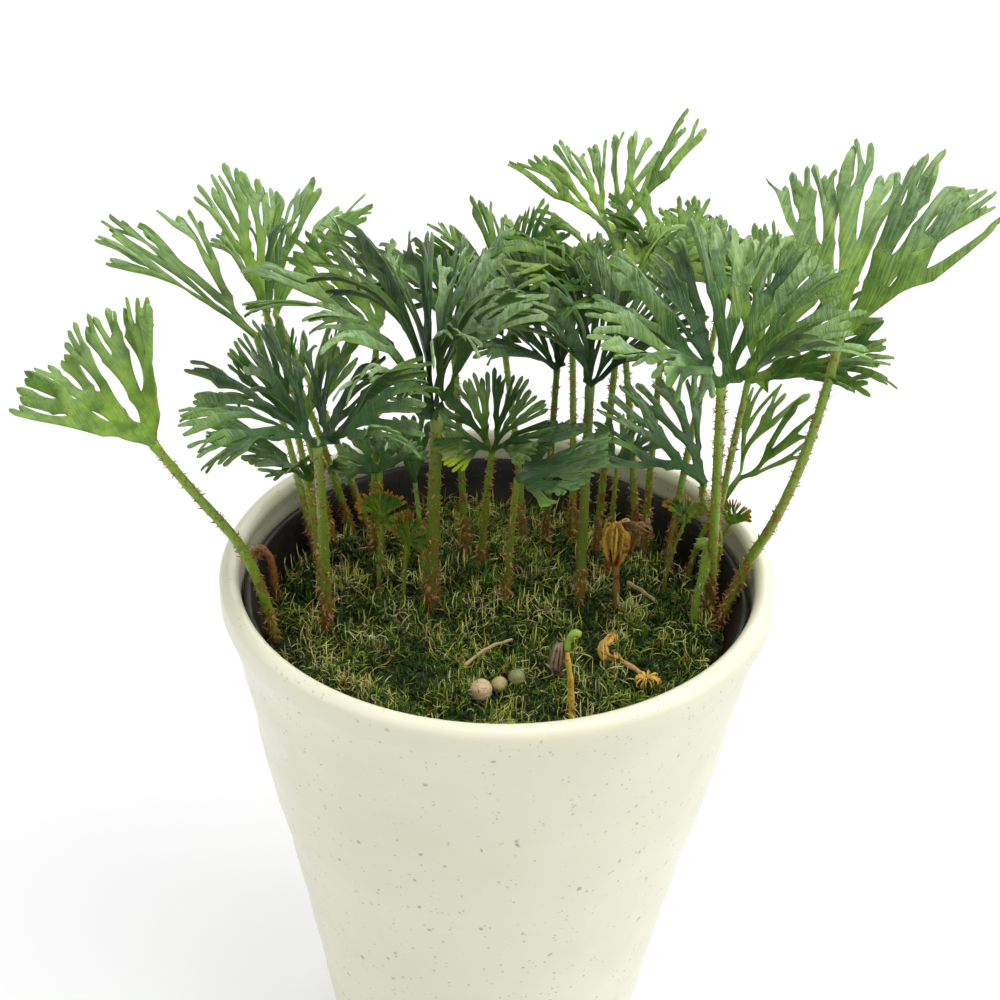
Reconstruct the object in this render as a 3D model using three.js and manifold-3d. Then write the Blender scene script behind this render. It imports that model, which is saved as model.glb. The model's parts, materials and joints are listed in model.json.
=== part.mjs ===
// A potted fern: forked, umbrella-like fronds on scaly stems, growing through a moss carpet
// in a black nursery pot that hangs in a tapered cream cover pot.
// Millimetres, +Z up. The origin is the centre of the cover pot's flat base.
import * as THREE from "three";
import { mergeVertices } from "three/addons/utils/BufferGeometryUtils.js";
import Module from "manifold-3d";

const wasm = await Module();
wasm.setup();

// ---- driving dimensions -------------------------------------------------
const POT_HEIGHT = 106; // cover pot, table to lip
const POT_LIP_R = 48.5; // outer radius at the lip
const POT_WAIST = [53, 38.1]; // height, outer radius half way down
const POT_FOOT_R = 28.1; // outer radius of the flat base
const POT_WALL = 3.5;
const POT_FLOOR = 6; // thickness of the bottom
const LIP_ROUND = 1.75; // radius of the rounded lip

const NURSERY_TOP = 101; // height of the black pot's rim
const NURSERY_BOTTOM = 30.3;
const NURSERY_TOP_R = 44.1; // outer radius under its rim band
const NURSERY_BOTTOM_R = 26.5;
const NURSERY_WALL = 1.0;
const DRAIN_HOLES = 6;
const DRAIN_R = 3;

const GAP = 0.3; // clearance between pieces that touch
const MOSS_BOTTOM = 85;
const MOSS_EDGE = 92.9; // height of the moss at the wall
const MOSS_RISE = 3.0; // how much higher it is in the middle
const ROOT_DEPTH = 4.5; // how far each stem goes down into the moss
const BLADE_HALF = 0.3; // half the thickness of a blade
const BLADE_START = 2.4; // length of the narrow throat before the blade opens

const GROUP = new THREE.Group();
GROUP.name = "potted_fern";

const material = (color, roughness, metalness = 0) =>
  new THREE.MeshStandardMaterial({ color, roughness, metalness });
const MAT = {
  stoneware: material(0xe6e3d4, 0.38),
  plastic: material(0x1b1a19, 0.5),
  soil: material(0x3a2a1e, 0.95),
  moss: material(0x5f6b2f, 0.95),
  leaf: material(0x6f8f5f, 0.55),
  leafBright: material(0x8fae52, 0.55),
  leafYoung: material(0x9db04a, 0.6),
  withered: material(0x8a5a30, 0.8),
  crozier: material(0x8d9a55, 0.7),
  crozierBrown: material(0x8a4f33, 0.75),
  bead: material(0xc7b489, 0.5),
  straw: material(0xc8b073, 0.8),
};

function addPart(name, solid, mat) {
  const mesh = new THREE.Mesh(geometryOf(solid), mat);
  mesh.name = name;
  GROUP.add(mesh);
  return mesh;
}

function geometryOf(solid) {
  const m = solid.getMesh();
  const pos = new Float32Array(m.numVert * 3);
  for (let i = 0; i < m.numVert; i++)
    for (let k = 0; k < 3; k++) pos[i * 3 + k] = m.vertProperties[i * m.numProp + k];
  const g = new THREE.BufferGeometry();
  g.setAttribute("position", new THREE.BufferAttribute(pos, 3));
  g.setIndex(new THREE.BufferAttribute(m.triVerts, 1));
  return g;
}

function solidFrom(vertices, triangles) {
  return new wasm.Manifold(
    new wasm.Mesh({
      numProp: 3,
      vertProperties: new Float32Array(vertices),
      triVerts: new Uint32Array(triangles),
    }),
  );
}

function solidOf(geometry) {
  const g = geometry.clone();
  g.deleteAttribute("normal");
  g.deleteAttribute("uv");
  const merged = mergeVertices(g, 1e-3);
  return solidFrom(merged.attributes.position.array, merged.index.array);
}

// A solid of revolution about Z from [radius, height] points, going outward up the outside.
function turned(points, segments) {
  const lathe = new THREE.LatheGeometry(
    points.map(([r, z]) => new THREE.Vector2(r, z)),
    segments,
  );
  lathe.rotateX(Math.PI / 2);
  const s = solidOf(lathe);
  if (s.volume() > 0) return s;
  const lathe2 = new THREE.LatheGeometry(
    points
      .slice()
      .reverse()
      .map(([r, z]) => new THREE.Vector2(r, z)),
    segments,
  );
  lathe2.rotateX(Math.PI / 2);
  return solidOf(lathe2);
}

const V = (a) => new THREE.Vector3(a[0], a[1], a[2]);

// ---- cover pot ----------------------------------------------------------
// Outer radius of the cover pot at height z: nearly straight up to half way, then slightly
// fuller, a faint neck under the lip, and out again to the lip.
const OUTER_AT = [
  [0, POT_FOOT_R], [1.2, 28.55], [6, 29.2], [20, 31.5], [30, 33.4], [40, 35.3], [POT_WAIST[0], POT_WAIST[1] - 0.2],
  [60, 39.6], [65, 40.8], [70, 41.8], [75, 42.5], [80, 43.2], [85, 44.2], [90, 45.2], [94, 46.1], [98, 47.3],
  [102, 48.7], [106, 49.6],
];
// The bore tapers straight, so the wall is POT_WALL at half way and a millimetre less near the top.
const BORE_AT = [[0, POT_FOOT_R], [6, 29.25], POT_WAIST, [100, POT_LIP_R], [106, 49.6]];
function along(table, z) {
  let i = 0;
  while (i < table.length - 2 && z > table[i + 1][0]) i++;
  const [z0, r0] = table[i];
  const [z1, r1] = table[i + 1];
  return r0 + ((r1 - r0) * (z - z0)) / (z1 - z0);
}
const potOuter = (z) => along(OUTER_AT, z);
const potInner = (z) => along(BORE_AT, z) - POT_WALL;

const potProfile = [];
potProfile.push([0, 0], [POT_FOOT_R - 1.2, 0], [POT_FOOT_R, 0.7]);
for (const z of [6, 20, 40, 53, 60, 70, 80, 90, 98, 101.5]) potProfile.push([potOuter(z), z]);
const lipR = POT_LIP_R - LIP_ROUND;
const lipZ = POT_HEIGHT - LIP_ROUND;
for (const a of [-5, 35, 65, 90, 115, 145, 180])
  potProfile.push([
    lipR + LIP_ROUND * Math.cos((a * Math.PI) / 180),
    lipZ + LIP_ROUND * Math.sin((a * Math.PI) / 180),
  ]);
for (const z of [98, 75, 50, 30, 13]) potProfile.push([potInner(z), z]);
potProfile.push([22.5, 7.6], [19, POT_FLOOR], [0, POT_FLOOR]);
addPart("cover_pot", turned(potProfile, 44), MAT.stoneware);

// ---- nursery pot --------------------------------------------------------
const nurseryOuter = (z) =>
  NURSERY_BOTTOM_R +
  ((NURSERY_TOP_R - NURSERY_BOTTOM_R) * (z - NURSERY_BOTTOM)) / (NURSERY_TOP - NURSERY_BOTTOM);
const nurseryInner = (z) => nurseryOuter(z) - NURSERY_WALL;
let nursery = turned(
  [
    [0, NURSERY_BOTTOM],
    [NURSERY_BOTTOM_R - 1, NURSERY_BOTTOM],
    [NURSERY_BOTTOM_R, NURSERY_BOTTOM + 1],
    [nurseryOuter(60), 60],
    [nurseryOuter(97.4), 97.4],
    [nurseryOuter(97.8) + 0.45, 97.8],
    [NURSERY_TOP_R + 0.35, NURSERY_TOP - 0.3],
    [NURSERY_TOP_R, NURSERY_TOP],
    [NURSERY_TOP_R - NURSERY_WALL, NURSERY_TOP],
    [nurseryInner(60), 60],
    [nurseryInner(NURSERY_BOTTOM + 1.2), NURSERY_BOTTOM + 1.2],
    [0, NURSERY_BOTTOM + 1.2],
  ],
  40,
);
for (let i = 0; i < DRAIN_HOLES; i++) {
  const a = (i * 2 * Math.PI) / DRAIN_HOLES + 0.2;
  const hole = new THREE.CylinderGeometry(DRAIN_R, DRAIN_R, 8, 10);
  hole.rotateX(Math.PI / 2);
  hole.translate(17.5 * Math.cos(a), 17.5 * Math.sin(a), NURSERY_BOTTOM);
  nursery = nursery.subtract(solidOf(hole));
}
addPart("nursery_pot", nursery, MAT.plastic);

// ---- growing medium -----------------------------------------------------
const soilR = (z) => nurseryInner(z) - GAP;
addPart(
  "growing_medium",
  turned(
    [
      [0, NURSERY_BOTTOM + 1.2 + GAP],
      [soilR(NURSERY_BOTTOM + 1.5) - 0.2, NURSERY_BOTTOM + 1.2 + GAP],
      [soilR(60), 60],
      [soilR(MOSS_BOTTOM - GAP), MOSS_BOTTOM - GAP],
      [0, MOSS_BOTTOM - GAP],
    ],
    28,
  ),
  MAT.soil,
);

// ---- moss ---------------------------------------------------------------
// Height of the moss surface: a low mound with soft cushions.
function mossTop(x, y) {
  const r = Math.hypot(x, y) / 41;
  const edge = Math.max(0, 1 - r * r);
  return (
    MOSS_EDGE +
    MOSS_RISE * Math.pow(edge, 0.6) +
    0.45 * Math.sin(x * 0.23 + 1.1) * Math.cos(y * 0.27 - 0.4) * Math.min(1, edge * 3) +
    0.3 * Math.sin(x * 0.41 + y * 0.33) * Math.min(1, edge * 3)
  );
}

function mossBody() {
  const rings = [0.16, 0.36, 0.56, 0.74, 0.88, 0.965, 1];
  const n = 36;
  const v = [0, 0, mossTop(0, 0)];
  const t = [];
  const outer = 40.45;
  for (const k of rings)
    for (let i = 0; i < n; i++) {
      const a = (i * 2 * Math.PI) / n;
      const r = outer * k * (k === 1 ? 1 : 1 + 0.01 * Math.sin(5 * a));
      const x = r * Math.cos(a);
      const y = r * Math.sin(a);
      v.push(x, y, k === 1 ? mossTop(x, y) - 0.9 : mossTop(x, y));
    }
  const bottomR = nurseryInner(MOSS_BOTTOM) - 0.35;
  for (let i = 0; i < n; i++) {
    const a = (i * 2 * Math.PI) / n;
    v.push(bottomR * Math.cos(a), bottomR * Math.sin(a), MOSS_BOTTOM);
  }
  v.push(0, 0, MOSS_BOTTOM);
  const at = (k, i) => 1 + k * n + (i % n);
  for (let i = 0; i < n; i++) t.push(0, at(0, i), at(0, i + 1));
  for (let k = 0; k < rings.length; k++)
    for (let i = 0; i < n; i++)
      t.push(at(k, i), at(k + 1, i), at(k + 1, i + 1), at(k, i), at(k + 1, i + 1), at(k, i + 1));
  const last = v.length / 3 - 1;
  for (let i = 0; i < n; i++) t.push(last, at(rings.length, i + 1), at(rings.length, i));
  return solidFrom(v, t);
}
let moss = mossBody();

// ---- fronds -------------------------------------------------------------
// Each blade lies on a cone-like surface that opens round `axis`, from the tip of the stem
// (`apex`) towards `face`. `wrap` is how far it reaches round to each side in degrees, g0 and g1
// the angle between the axis and the blade at its throat and at its rim (over 90 droops), and
// `reach` the length of a lobe.
const FRONDS = [
  { name: 'frond_left_outer', base: [-38.04,-7.39,95.0], mid: [[-40.94,-8.64,105.82],[-44.34,-9.79,114.85],[-50.93,-10.94,124.89]], apex: [-57.04,-12.26,134.75], axis: [-0.5954,0.0212,0.8032], face: [-0.2139,0.9594,-0.1839], wrap: 64.0, g0: 38.2, g1: 45.0, reach: 26.12, bend: 1.0, lobes: 6, stem: 1.0 },
  { name: 'frond_left_back', base: [-33.0,17.0,95.0], mid: [], apex: [-45.92,36.84,129.71], axis: [0.5706,0.1071,0.8142], face: [-0.7857,0.3596,0.5034], wrap: 34.2, g0: 87.1, g1: 92.5, reach: 33.9, bend: 1.0, lobes: 6, stem: 0.9 },
  { name: 'frond_back_left_a', base: [-27.0,26.0,95.0], mid: [], apex: [-42.76,30.0,136.23], axis: [-0.1221,0.2756,0.9535], face: [-0.1364,0.9469,-0.2912], wrap: 33.2, g0: 19.2, g1: 73.0, reach: 25.7, bend: 1.0, lobes: 6, stem: 0.9 },
  { name: 'frond_back_left_b', base: [-30.0,21.0,95.0], mid: [], apex: [-42.91,22.4,144.6], axis: [0.7753,-0.4109,0.4796], face: [-0.2771,0.4611,0.843], wrap: 23.2, g0: 81.0, g1: 106.4, reach: 23.1, bend: 1.0, lobes: 6, stem: 0.9 },
  { name: 'frond_back_left_c', base: [-24.0,28.0,95.0], mid: [], apex: [-43.11,45.21,129.9], axis: [0.0229,0.0902,0.9957], face: [0.3499,0.9322,-0.0925], wrap: 32.4, g0: 32.9, g1: 66.4, reach: 30.63, bend: 1.0, lobes: 6, stem: 0.9 },
  { name: 'frond_left_crown', base: [-22.87,19.98,95.0], mid: [], apex: [-22.01,9.25,145.4], axis: [0.2604,-0.1115,0.959], face: [-0.6404,0.7234,0.258], wrap: 43.9, g0: 70.3, g1: 112.0, reach: 25.48, bend: 1.0, lobes: 6, stem: 0.9 },
  { name: 'frond_centre_left', base: [-11.78,2.23,95.0], mid: [], apex: [-10.91,-4.35,136.25], axis: [-0.0737,0.1021,0.992], face: [0.016,0.9947,-0.1012], wrap: 176, g0: 12, g1: 86, reach: 33, bend: 1.5, lobes: 8, stem: 1.3 },
  { name: 'frond_left_middle', base: [-31.0,9.0,95.0], mid: [], apex: [-35.44,6.25,127.5], axis: [-0.0624,-0.4707,0.8801], face: [-0.0345,0.8823,0.4695], wrap: 67.8, g0: 19.1, g1: 44.9, reach: 20.99, bend: 1.0, lobes: 6, stem: 0.9 },
  { name: 'frond_left_front', base: [-29.38,-5.71,95.0], mid: [], apex: [-29.31,-21.87,141.26], axis: [-0.1704,-0.0516,0.984], face: [-0.1426,0.9894,0.0272], wrap: 138.5, g0: 34.7, g1: 98.7, reach: 23.47, bend: 1.2, lobes: 8, stem: 1.0 },
  { name: 'frond_left_low', base: [-30.68,3.56,95.0], mid: [], apex: [-32.94,-5.09,125.21], axis: [0.0022,0.0866,0.9962], face: [-0.7091,-0.7023,0.0626], wrap: 71.3, g0: 52, g1: 76, reach: 19.0, bend: 1.0, lobes: 6, stem: 0.85 },
  { name: 'frond_left_small_a', base: [-21.0,13.0,95.0], mid: [], apex: [-21.28,9.92,117.77], axis: [0.1313,-0.3365,0.9325], face: [-0.5106,0.7833,0.3545], wrap: 96.5, g0: 57.0, g1: 77.0, reach: 8.1, bend: 1.0, lobes: 5, stem: 0.65 },
  { name: 'frond_left_small_b', base: [-13.2,11.4,95.0], mid: [], apex: [-15.43,18.07,110.95], axis: [0.0051,-0.1251,0.9921], face: [-0.5817,0.8066,0.1047], wrap: 62.3, g0: 26.1, g1: 36.1, reach: 12.5, bend: 1.0, lobes: 5, stem: 0.65 },
  { name: 'frond_back_centre_a', base: [5.0,25.0,95.0], mid: [], apex: [-0.23,39.46,128.2], axis: [-0.0,-0.1323,0.9912], face: [0.0678,0.9889,0.132], wrap: 125, g0: 18.0, g1: 72.0, reach: 26.0, bend: 1.0, lobes: 8, stem: 0.9 },
  { name: 'frond_centre_middle', base: [8.75,24.97,95.0], mid: [], apex: [9.21,17.55,135.32], axis: [-0.1952,-0.4884,0.8505], face: [-0.2306,0.8657,0.4443], wrap: 117.6, g0: 13.9, g1: 49.0, reach: 25.25, bend: 1.2, lobes: 8, stem: 0.9 },
  { name: 'frond_centre_right', base: [14.96,4.36,95.0], mid: [], apex: [14.65,5.83,138.66], axis: [0.2025,-0.5119,0.8348], face: [-0.0577,0.8448,0.532], wrap: 86.5, g0: 14.7, g1: 76.2, reach: 26.17, bend: 1.3, lobes: 8, stem: 1.0 },
  { name: 'frond_back_tall', base: [26.08,25.51,95.0], mid: [], apex: [19.05,43.66,149.23], axis: [-0.2611,0.3024,0.9167], face: [0.1731,0.9489,-0.2637], wrap: 53.5, g0: 49.6, g1: 59.0, reach: 29.08, bend: 1.0, lobes: 6, stem: 0.9 },
  { name: 'frond_right_inner', base: [18.17,20.99,95.0], mid: [], apex: [19.6,13.01,150.86], axis: [-0.0696,0.1205,0.9903], face: [-0.2171,0.9671,-0.133], wrap: 140, g0: 35.0, g1: 90, reach: 22.0, bend: 1.0, lobes: 8, stem: 0.9 },
  { name: 'frond_right_front', base: [38.3,4.0,95.0], mid: [], apex: [34.43,-17.96,152.73], axis: [-0.12,-0.05,0.99], face: [-0.25,0.97,0.0], wrap: 158, g0: 30, g1: 60, reach: 27.0, bend: 1.0, lobes: 8, stem: 1.0 },
  { name: 'frond_right_crown', base: [37.67,9.56,95.0], mid: [], apex: [41.93,10.27,138.33], axis: [0.3,-0.12,0.95], face: [0.62,0.78,0.0], wrap: 112, g0: 24, g1: 62, reach: 26.5, bend: 1.0, lobes: 8, stem: 0.9 },
  { name: 'frond_right_outer', base: [38.62,1.15,95.0], mid: [[44.0,0.6,107.6],[46.97,-1.4,116.39],[50.33,-2.71,128.44],[53.21,-4.01,145.02]], apex: [54.03,-6.08,156.09], axis: [-0.0954,-0.0698,0.993], face: [0.5301,0.8407,0.11], wrap: 50.1, g0: 54.5, g1: 63.8, reach: 33.54, bend: 1.0, lobes: 6, stem: 1.0 },
  { name: 'frond_right_low_a', base: [35.9,6.9,95.0], mid: [[39.3,6.3,108.0],[34.9,1.7,120.4]], apex: [34.97,-0.99,124.36], axis: [0.4837,-0.3563,0.7994], face: [-0.6531,0.4611,0.6007], wrap: 47.2, g0: 81.4, g1: 92.0, reach: 22.36, bend: 1.0, lobes: 6, stem: 0.8 },
  { name: 'frond_right_low_b', base: [34.6,16.6,95.0], mid: [], apex: [40.07,17.0,109.48], axis: [-0.8688,-0.2344,0.4362], face: [0.4246,0.1006,0.8998], wrap: 34.4, g0: 87.7, g1: 103.6, reach: 25.24, bend: 1.0, lobes: 6, stem: 0.75 },
  { name: 'frond_back_small', base: [20.0,14.0,95.0], mid: [], apex: [20.46,10.83,120.01], axis: [0.3351,-0.2357,0.9122], face: [-0.4382,0.8181,0.3724], wrap: 92.8, g0: 30.4, g1: 60.4, reach: 8.8, bend: 1.0, lobes: 5, stem: 0.6 },
  { name: 'frond_centre_low_a', base: [-3.23,17.4,95.0], mid: [], apex: [-1.61,2.56,127.09], axis: [0.0001,-0.5535,0.8328], face: [-0.0042,0.8328,0.5535], wrap: 151.3, g0: 14.9, g1: 66.1, reach: 15.47, bend: 1.0, lobes: 8, stem: 0.85 },
  { name: 'frond_centre_low_b', base: [1.61,4.03,95.0], mid: [], apex: [2.78,-7.51,127.99], axis: [-0.2839,0.0501,0.9576], face: [0.9585,0.0404,0.282], wrap: 65.4, g0: 73.5, g1: 87.5, reach: 16.8, bend: 1.0, lobes: 6, stem: 0.85 },
  { name: 'young_frond_left_a', base: [-21.26,5.12,95.0], mid: [], apex: [-20.6,5.2,110.2], axis: [0.0,-0.1736,0.9848], face: [0.0,0.9848,0.1736], wrap: 170, g0: 15, g1: 66, reach: 5.6, bend: 1.0, lobes: 4, stem: 0.55 },
  { name: 'young_frond_left_b', base: [-16.68,3.5,95.0], mid: [], apex: [-16.0,1.9,108.0], axis: [0.1595,-0.1714,0.9722], face: [0.0,0.9848,0.1736], wrap: 170, g0: 15, g1: 66, reach: 5.0, bend: 1.0, lobes: 4, stem: 0.5 },
  { name: 'frond_back_right_a', base: [31.0,18.0,95.0], mid: [], apex: [39.22,39.55,139.06], axis: [0.121,0.2095,0.9703], face: [0.143,0.9636,-0.2259], wrap: 130, g0: 28.0, g1: 88.0, reach: 20.0, bend: 1.0, lobes: 8, stem: 0.9 },
  { name: 'frond_back_right_b', base: [27.0,22.0,95.0], mid: [], apex: [28.1,26.56,146.81], axis: [0.3187,0.0705,0.9452], face: [0.2942,0.9406,-0.1694], wrap: 130, g0: 25.0, g1: 85.0, reach: 20.0, bend: 1.0, lobes: 8, stem: 0.9 },
  { name: 'frond_back_centre_b', base: [14.0,28.0,95.0], mid: [], apex: [12.14,47.38,133.97], axis: [0.2167,0.3184,0.9229], face: [0.0415,0.9415,-0.3345], wrap: 130, g0: 20.0, g1: 78.0, reach: 20.0, bend: 1.0, lobes: 8, stem: 0.9 },
  { name: 'frond_back_centre_c', base: [-6.0,20.0,95.0], mid: [], apex: [-9.53,24.54,139.81], axis: [0.0442,0.2092,0.9769], face: [0.0188,0.9775,-0.2101], wrap: 130, g0: 28.0, g1: 85.0, reach: 22.0, bend: 1.0, lobes: 8, stem: 0.9 },
  { name: 'young_frond_right_a', base: [30.0,11.0,95.0], mid: [], apex: [33.03,10.0,109.15], axis: [0.0,0.1736,0.9848], face: [0.0,0.9848,-0.1736], wrap: 150, g0: 15, g1: 58, reach: 5.0, bend: 1.0, lobes: 4, stem: 0.45 },
  { name: 'young_frond_right_b', base: [37.0,13.0,95.0], mid: [], apex: [41.6,12.0,108.2], axis: [0.0868,0.1504,0.9848], face: [-0.0132,0.9886,-0.1498], wrap: 150, g0: 12, g1: 50, reach: 3.6, bend: 1.0, lobes: 4, stem: 0.4 },
  { name: 'withered_frond_back', base: [21.57,4.98,95.0], mid: [], apex: [21.24,6.0,104.43], axis: [0.0,0.1045,0.9945], face: [0.0,0.9945,-0.1045], wrap: 140, g0: 20.0, g1: 60.0, reach: 5.5, bend: 1.0, lobes: 4, stem: 0.6 },
  { name: 'withered_frond_middle', base: [13.57,-29.19,95.0], mid: [], apex: [11.18,-27.0,107.51], axis: [-0.2432,-0.0885,0.9659], face: [-0.9077,-0.3304,-0.2588], wrap: 120, g0: 40.0, g1: 120.0, reach: 4.5, bend: 1.0, lobes: 4, stem: 0.6 },
  { name: 'withered_frond_front', base: [20.53,-9.56,95.0], mid: [], apex: [24.29,-19.0,97.33], axis: [0.4924,-0.4132,0.766], face: [0.5868,-0.4924,-0.6428], wrap: 110, g0: 50.0, g1: 90.0, reach: 5.0, bend: 1.0, lobes: 4, stem: 0.55 },];

// The mapping from (distance along the lobes, angle across the fan, height off the blade) to space.
function bladeSurface(f) {
  const rad = Math.PI / 180;
  const a = V(f.axis).normalize();
  const e0 = V(f.face);
  e0.addScaledVector(a, -a.dot(e0)).normalize();
  const e1 = new THREE.Vector3().crossVectors(a, e0);
  const g = (s) =>
    (f.g0 + (f.g1 - f.g0) * Math.pow(Math.min(Math.max(s / f.reach, 0), 1.3), f.bend)) * rad;
  const gm = (f.g0 + (f.g1 - f.g0) * Math.pow(0.6, f.bend)) * rad;
  const wrap = f.wrap * rad;
  const half = Math.min(wrap * Math.sin(Math.min(gm, Math.PI / 2)), (150 * rad));
  const r0 = BLADE_START * Math.sin(f.g0 * rad);
  const N = 60;
  const S = [0];
  const RR = [0];
  const HH = [0];
  for (let i = 1; i <= N; i++) {
    const s = (1.3 * f.reach * i) / N;
    const ds = s - S[i - 1];
    const gg = (g(s) + g(S[i - 1])) / 2;
    S.push(s);
    RR.push(RR[i - 1] + Math.sin(gg) * ds);
    HH.push(HH[i - 1] + Math.cos(gg) * ds);
  }
  const look = (T, s) => {
    const x = Math.min(Math.max(s / (1.3 * f.reach), 0), 0.9999) * N;
    const i = Math.floor(x);
    return T[i] + (T[i + 1] - T[i]) * (x - i);
  };
  const c = V(f.apex).addScaledVector(e0, -r0);
  const direction = (phi) => {
    const psi = (phi * wrap) / half;
    return new THREE.Vector3()
      .addScaledVector(e0, Math.cos(psi))
      .addScaledVector(e1, Math.sin(psi));
  };
  const normal = (rho, phi) => {
    const e = direction(phi);
    return new THREE.Vector3()
      .addScaledVector(a, Math.sin(g(rho)))
      .addScaledVector(e, -Math.cos(g(rho)));
  };
  const at = (rho, phi, z) => {
    const e = direction(phi);
    return new THREE.Vector3()
      .copy(c)
      .addScaledVector(a, look(HH, rho))
      .addScaledVector(e, r0 + look(RR, rho))
      .addScaledVector(normal(rho, phi), z);
  };
  return { half, at, normal, side: e1 };
}

// The stem's centre line, from in the moss to the throat of the blade.
function stemCurve(f, rootDepth) {
  const base = V(f.base);
  const apex = V(f.apex);
  const pts = [];
  const first = f.mid.length ? V(f.mid[0]) : apex;
  const down = new THREE.Vector3(
    (base.x - first.x) * 0.01,
    (base.y - first.y) * 0.01,
    -1,
  ).multiplyScalar(rootDepth + base.z - mossTop(base.x, base.y));
  pts.push(base.clone().add(down));
  if (f.mid.length) for (const m of f.mid) pts.push(V(m));
  else
    pts.push(
      new THREE.Vector3(
        base.x * 0.56 + apex.x * 0.44,
        base.y * 0.56 + apex.y * 0.44,
        base.z * 0.5 + apex.z * 0.5,
      ),
    );
  pts.push(apex);
  return new THREE.CatmullRomCurve3(pts, false, "centripetal");
}

// A frond as one closed surface: a six-sided stem that opens into the forked blade.
function frondBody(f, grow = 0) {
  const v = [];
  const t = [];
  const add = (p) => {
    v.push(p.x, p.y, p.z);
    return v.length / 3 - 1;
  };
  const surf = bladeSurface(f);
  const half = BLADE_HALF + grow;
  const pair = (rho, phi) => {
    const i = add(surf.at(rho, phi, half));
    add(surf.at(rho, phi, -half));
    return i;
  };
  const n = f.lobes;
  const tri = (a, b, c) => t.push(a, b, c);
  const quad = (S, E, i) => {
    tri(S[i], E[i], E[i + 1]);
    tri(S[i], E[i + 1], S[i + 1]);
    tri(S[i] + 1, E[i + 1] + 1, E[i] + 1);
    tri(S[i] + 1, S[i + 1] + 1, E[i + 1] + 1);
  };
  const wallLow = (s, e) => {
    tri(s, s + 1, e + 1);
    tri(s, e + 1, e);
  };
  const wallHigh = (s, e) => {
    tri(s, e, e + 1);
    tri(s, e + 1, s + 1);
  };
  const cover = (rho) => {
    const x = rho / f.reach;
    return x < 0.2 ? 0.95 : 0.95 - 0.33 * Math.min(1, (x - 0.2) / 0.6);
  };
  const row = (rho, fa, fb, m) => {
    const mid = (fa + fb) / 2;
    let w = ((fb - fa) / 2) * cover(rho);
    w += grow / (rho + BLADE_START);
    const out = [];
    for (let i = 0; i <= m; i++) out.push(pair(rho, mid - w + (2 * w * i) / m));
    return out;
  };
  const levels = Math.ceil(Math.log2(n));
  const forkAt = [0.17, 0.36, 0.56].slice(0, levels);
  if (levels === 2) forkAt.splice(0, 2, 0.22, 0.5);
  const grown = grow * 0.8;
  // branch(k lobes from angle fa to fb, from the row S at rho0, at depth d)
  function branch(k, fa, fb, S, rho0, d) {
    if (k === 1) {
      const rho1 = rho0 + (f.reach - rho0) * 0.62;
      const M = row(rho1, fa, fb, 1);
      const mid = (fa + fb) / 2;
      const tipR = f.reach + grown;
      const w = ((fb - fa) / 2) * cover(f.reach) * 0.62 + grow / (tipR + BLADE_START);
      const E = [pair(tipR, mid - w), pair(tipR, mid + w)];
      quad(S, M, 0);
      wallLow(S[0], M[0]);
      wallHigh(S[1], M[1]);
      quad(M, E, 0);
      wallLow(M[0], E[0]);
      wallHigh(M[1], E[1]);
      tri(E[0], E[0] + 1, E[1] + 1);
      tri(E[0], E[1] + 1, E[1]);
      return;
    }
    const rho1 = f.reach * (forkAt[d] ?? 0.72) + (d > 0 ? 0.03 * f.reach * Math.sin(fa * 7 + d) : 0);
    const E = row(rho1, fa, fb, k);
    for (let i = 0; i < k; i++) quad(S, E, i);
    wallLow(S[0], E[0]);
    wallHigh(S[k], E[k]);
    split(k, fa, fb, E, rho1, d + 1);
  }
  function split(k, fa, fb, E, rho, d) {
    const k1 = Math.ceil(k / 2);
    const c = fa + ((fb - fa) * k1) / k;
    branch(k1, fa, c, E.slice(0, k1 + 1), rho, d);
    branch(k - k1, c, fb, E.slice(k1), rho, d);
  }
  // throat: the two start points, then the first row round the umbrella
  const throat = Math.min(0.9, 0.95 * f.stem + 0.1) + grow;
  const p0 = throat / BLADE_START;
  const L0 = pair(0, -p0);
  const R0 = pair(0, p0);
  const rho1 = f.reach * forkAt[0];
  const E = row(rho1, -surf.half, surf.half, n);
  const m = Math.floor(n / 2);
  for (let i = 0; i < n; i++) {
    const s = i < m ? L0 : R0;
    tri(s, E[i], E[i + 1]);
    tri(s + 1, E[i + 1] + 1, E[i] + 1);
  }
  tri(L0, E[m], R0);
  tri(L0 + 1, R0 + 1, E[m] + 1);
  const startN = surf.normal(0, 0);
  const mid = (i, j, k) =>
    add(
      new THREE.Vector3(
        (v[i * 3] + v[j * 3]) / 2,
        (v[i * 3 + 1] + v[j * 3 + 1]) / 2,
        (v[i * 3 + 2] + v[j * 3 + 2]) / 2,
      ).addScaledVector(surf.side, k),
    );
  const Lm = mid(L0, L0 + 1, -0.2);
  const Rm = mid(R0, R0 + 1, 0.2);
  tri(Lm, L0 + 1, E[0] + 1);
  tri(Lm, E[0] + 1, E[0]);
  tri(Lm, E[0], L0);
  tri(Rm, R0, E[n]);
  tri(Rm, E[n], E[n] + 1);
  tri(Rm, E[n] + 1, R0 + 1);
  split(n, -surf.half, surf.half, E, rho1, 1);
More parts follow.
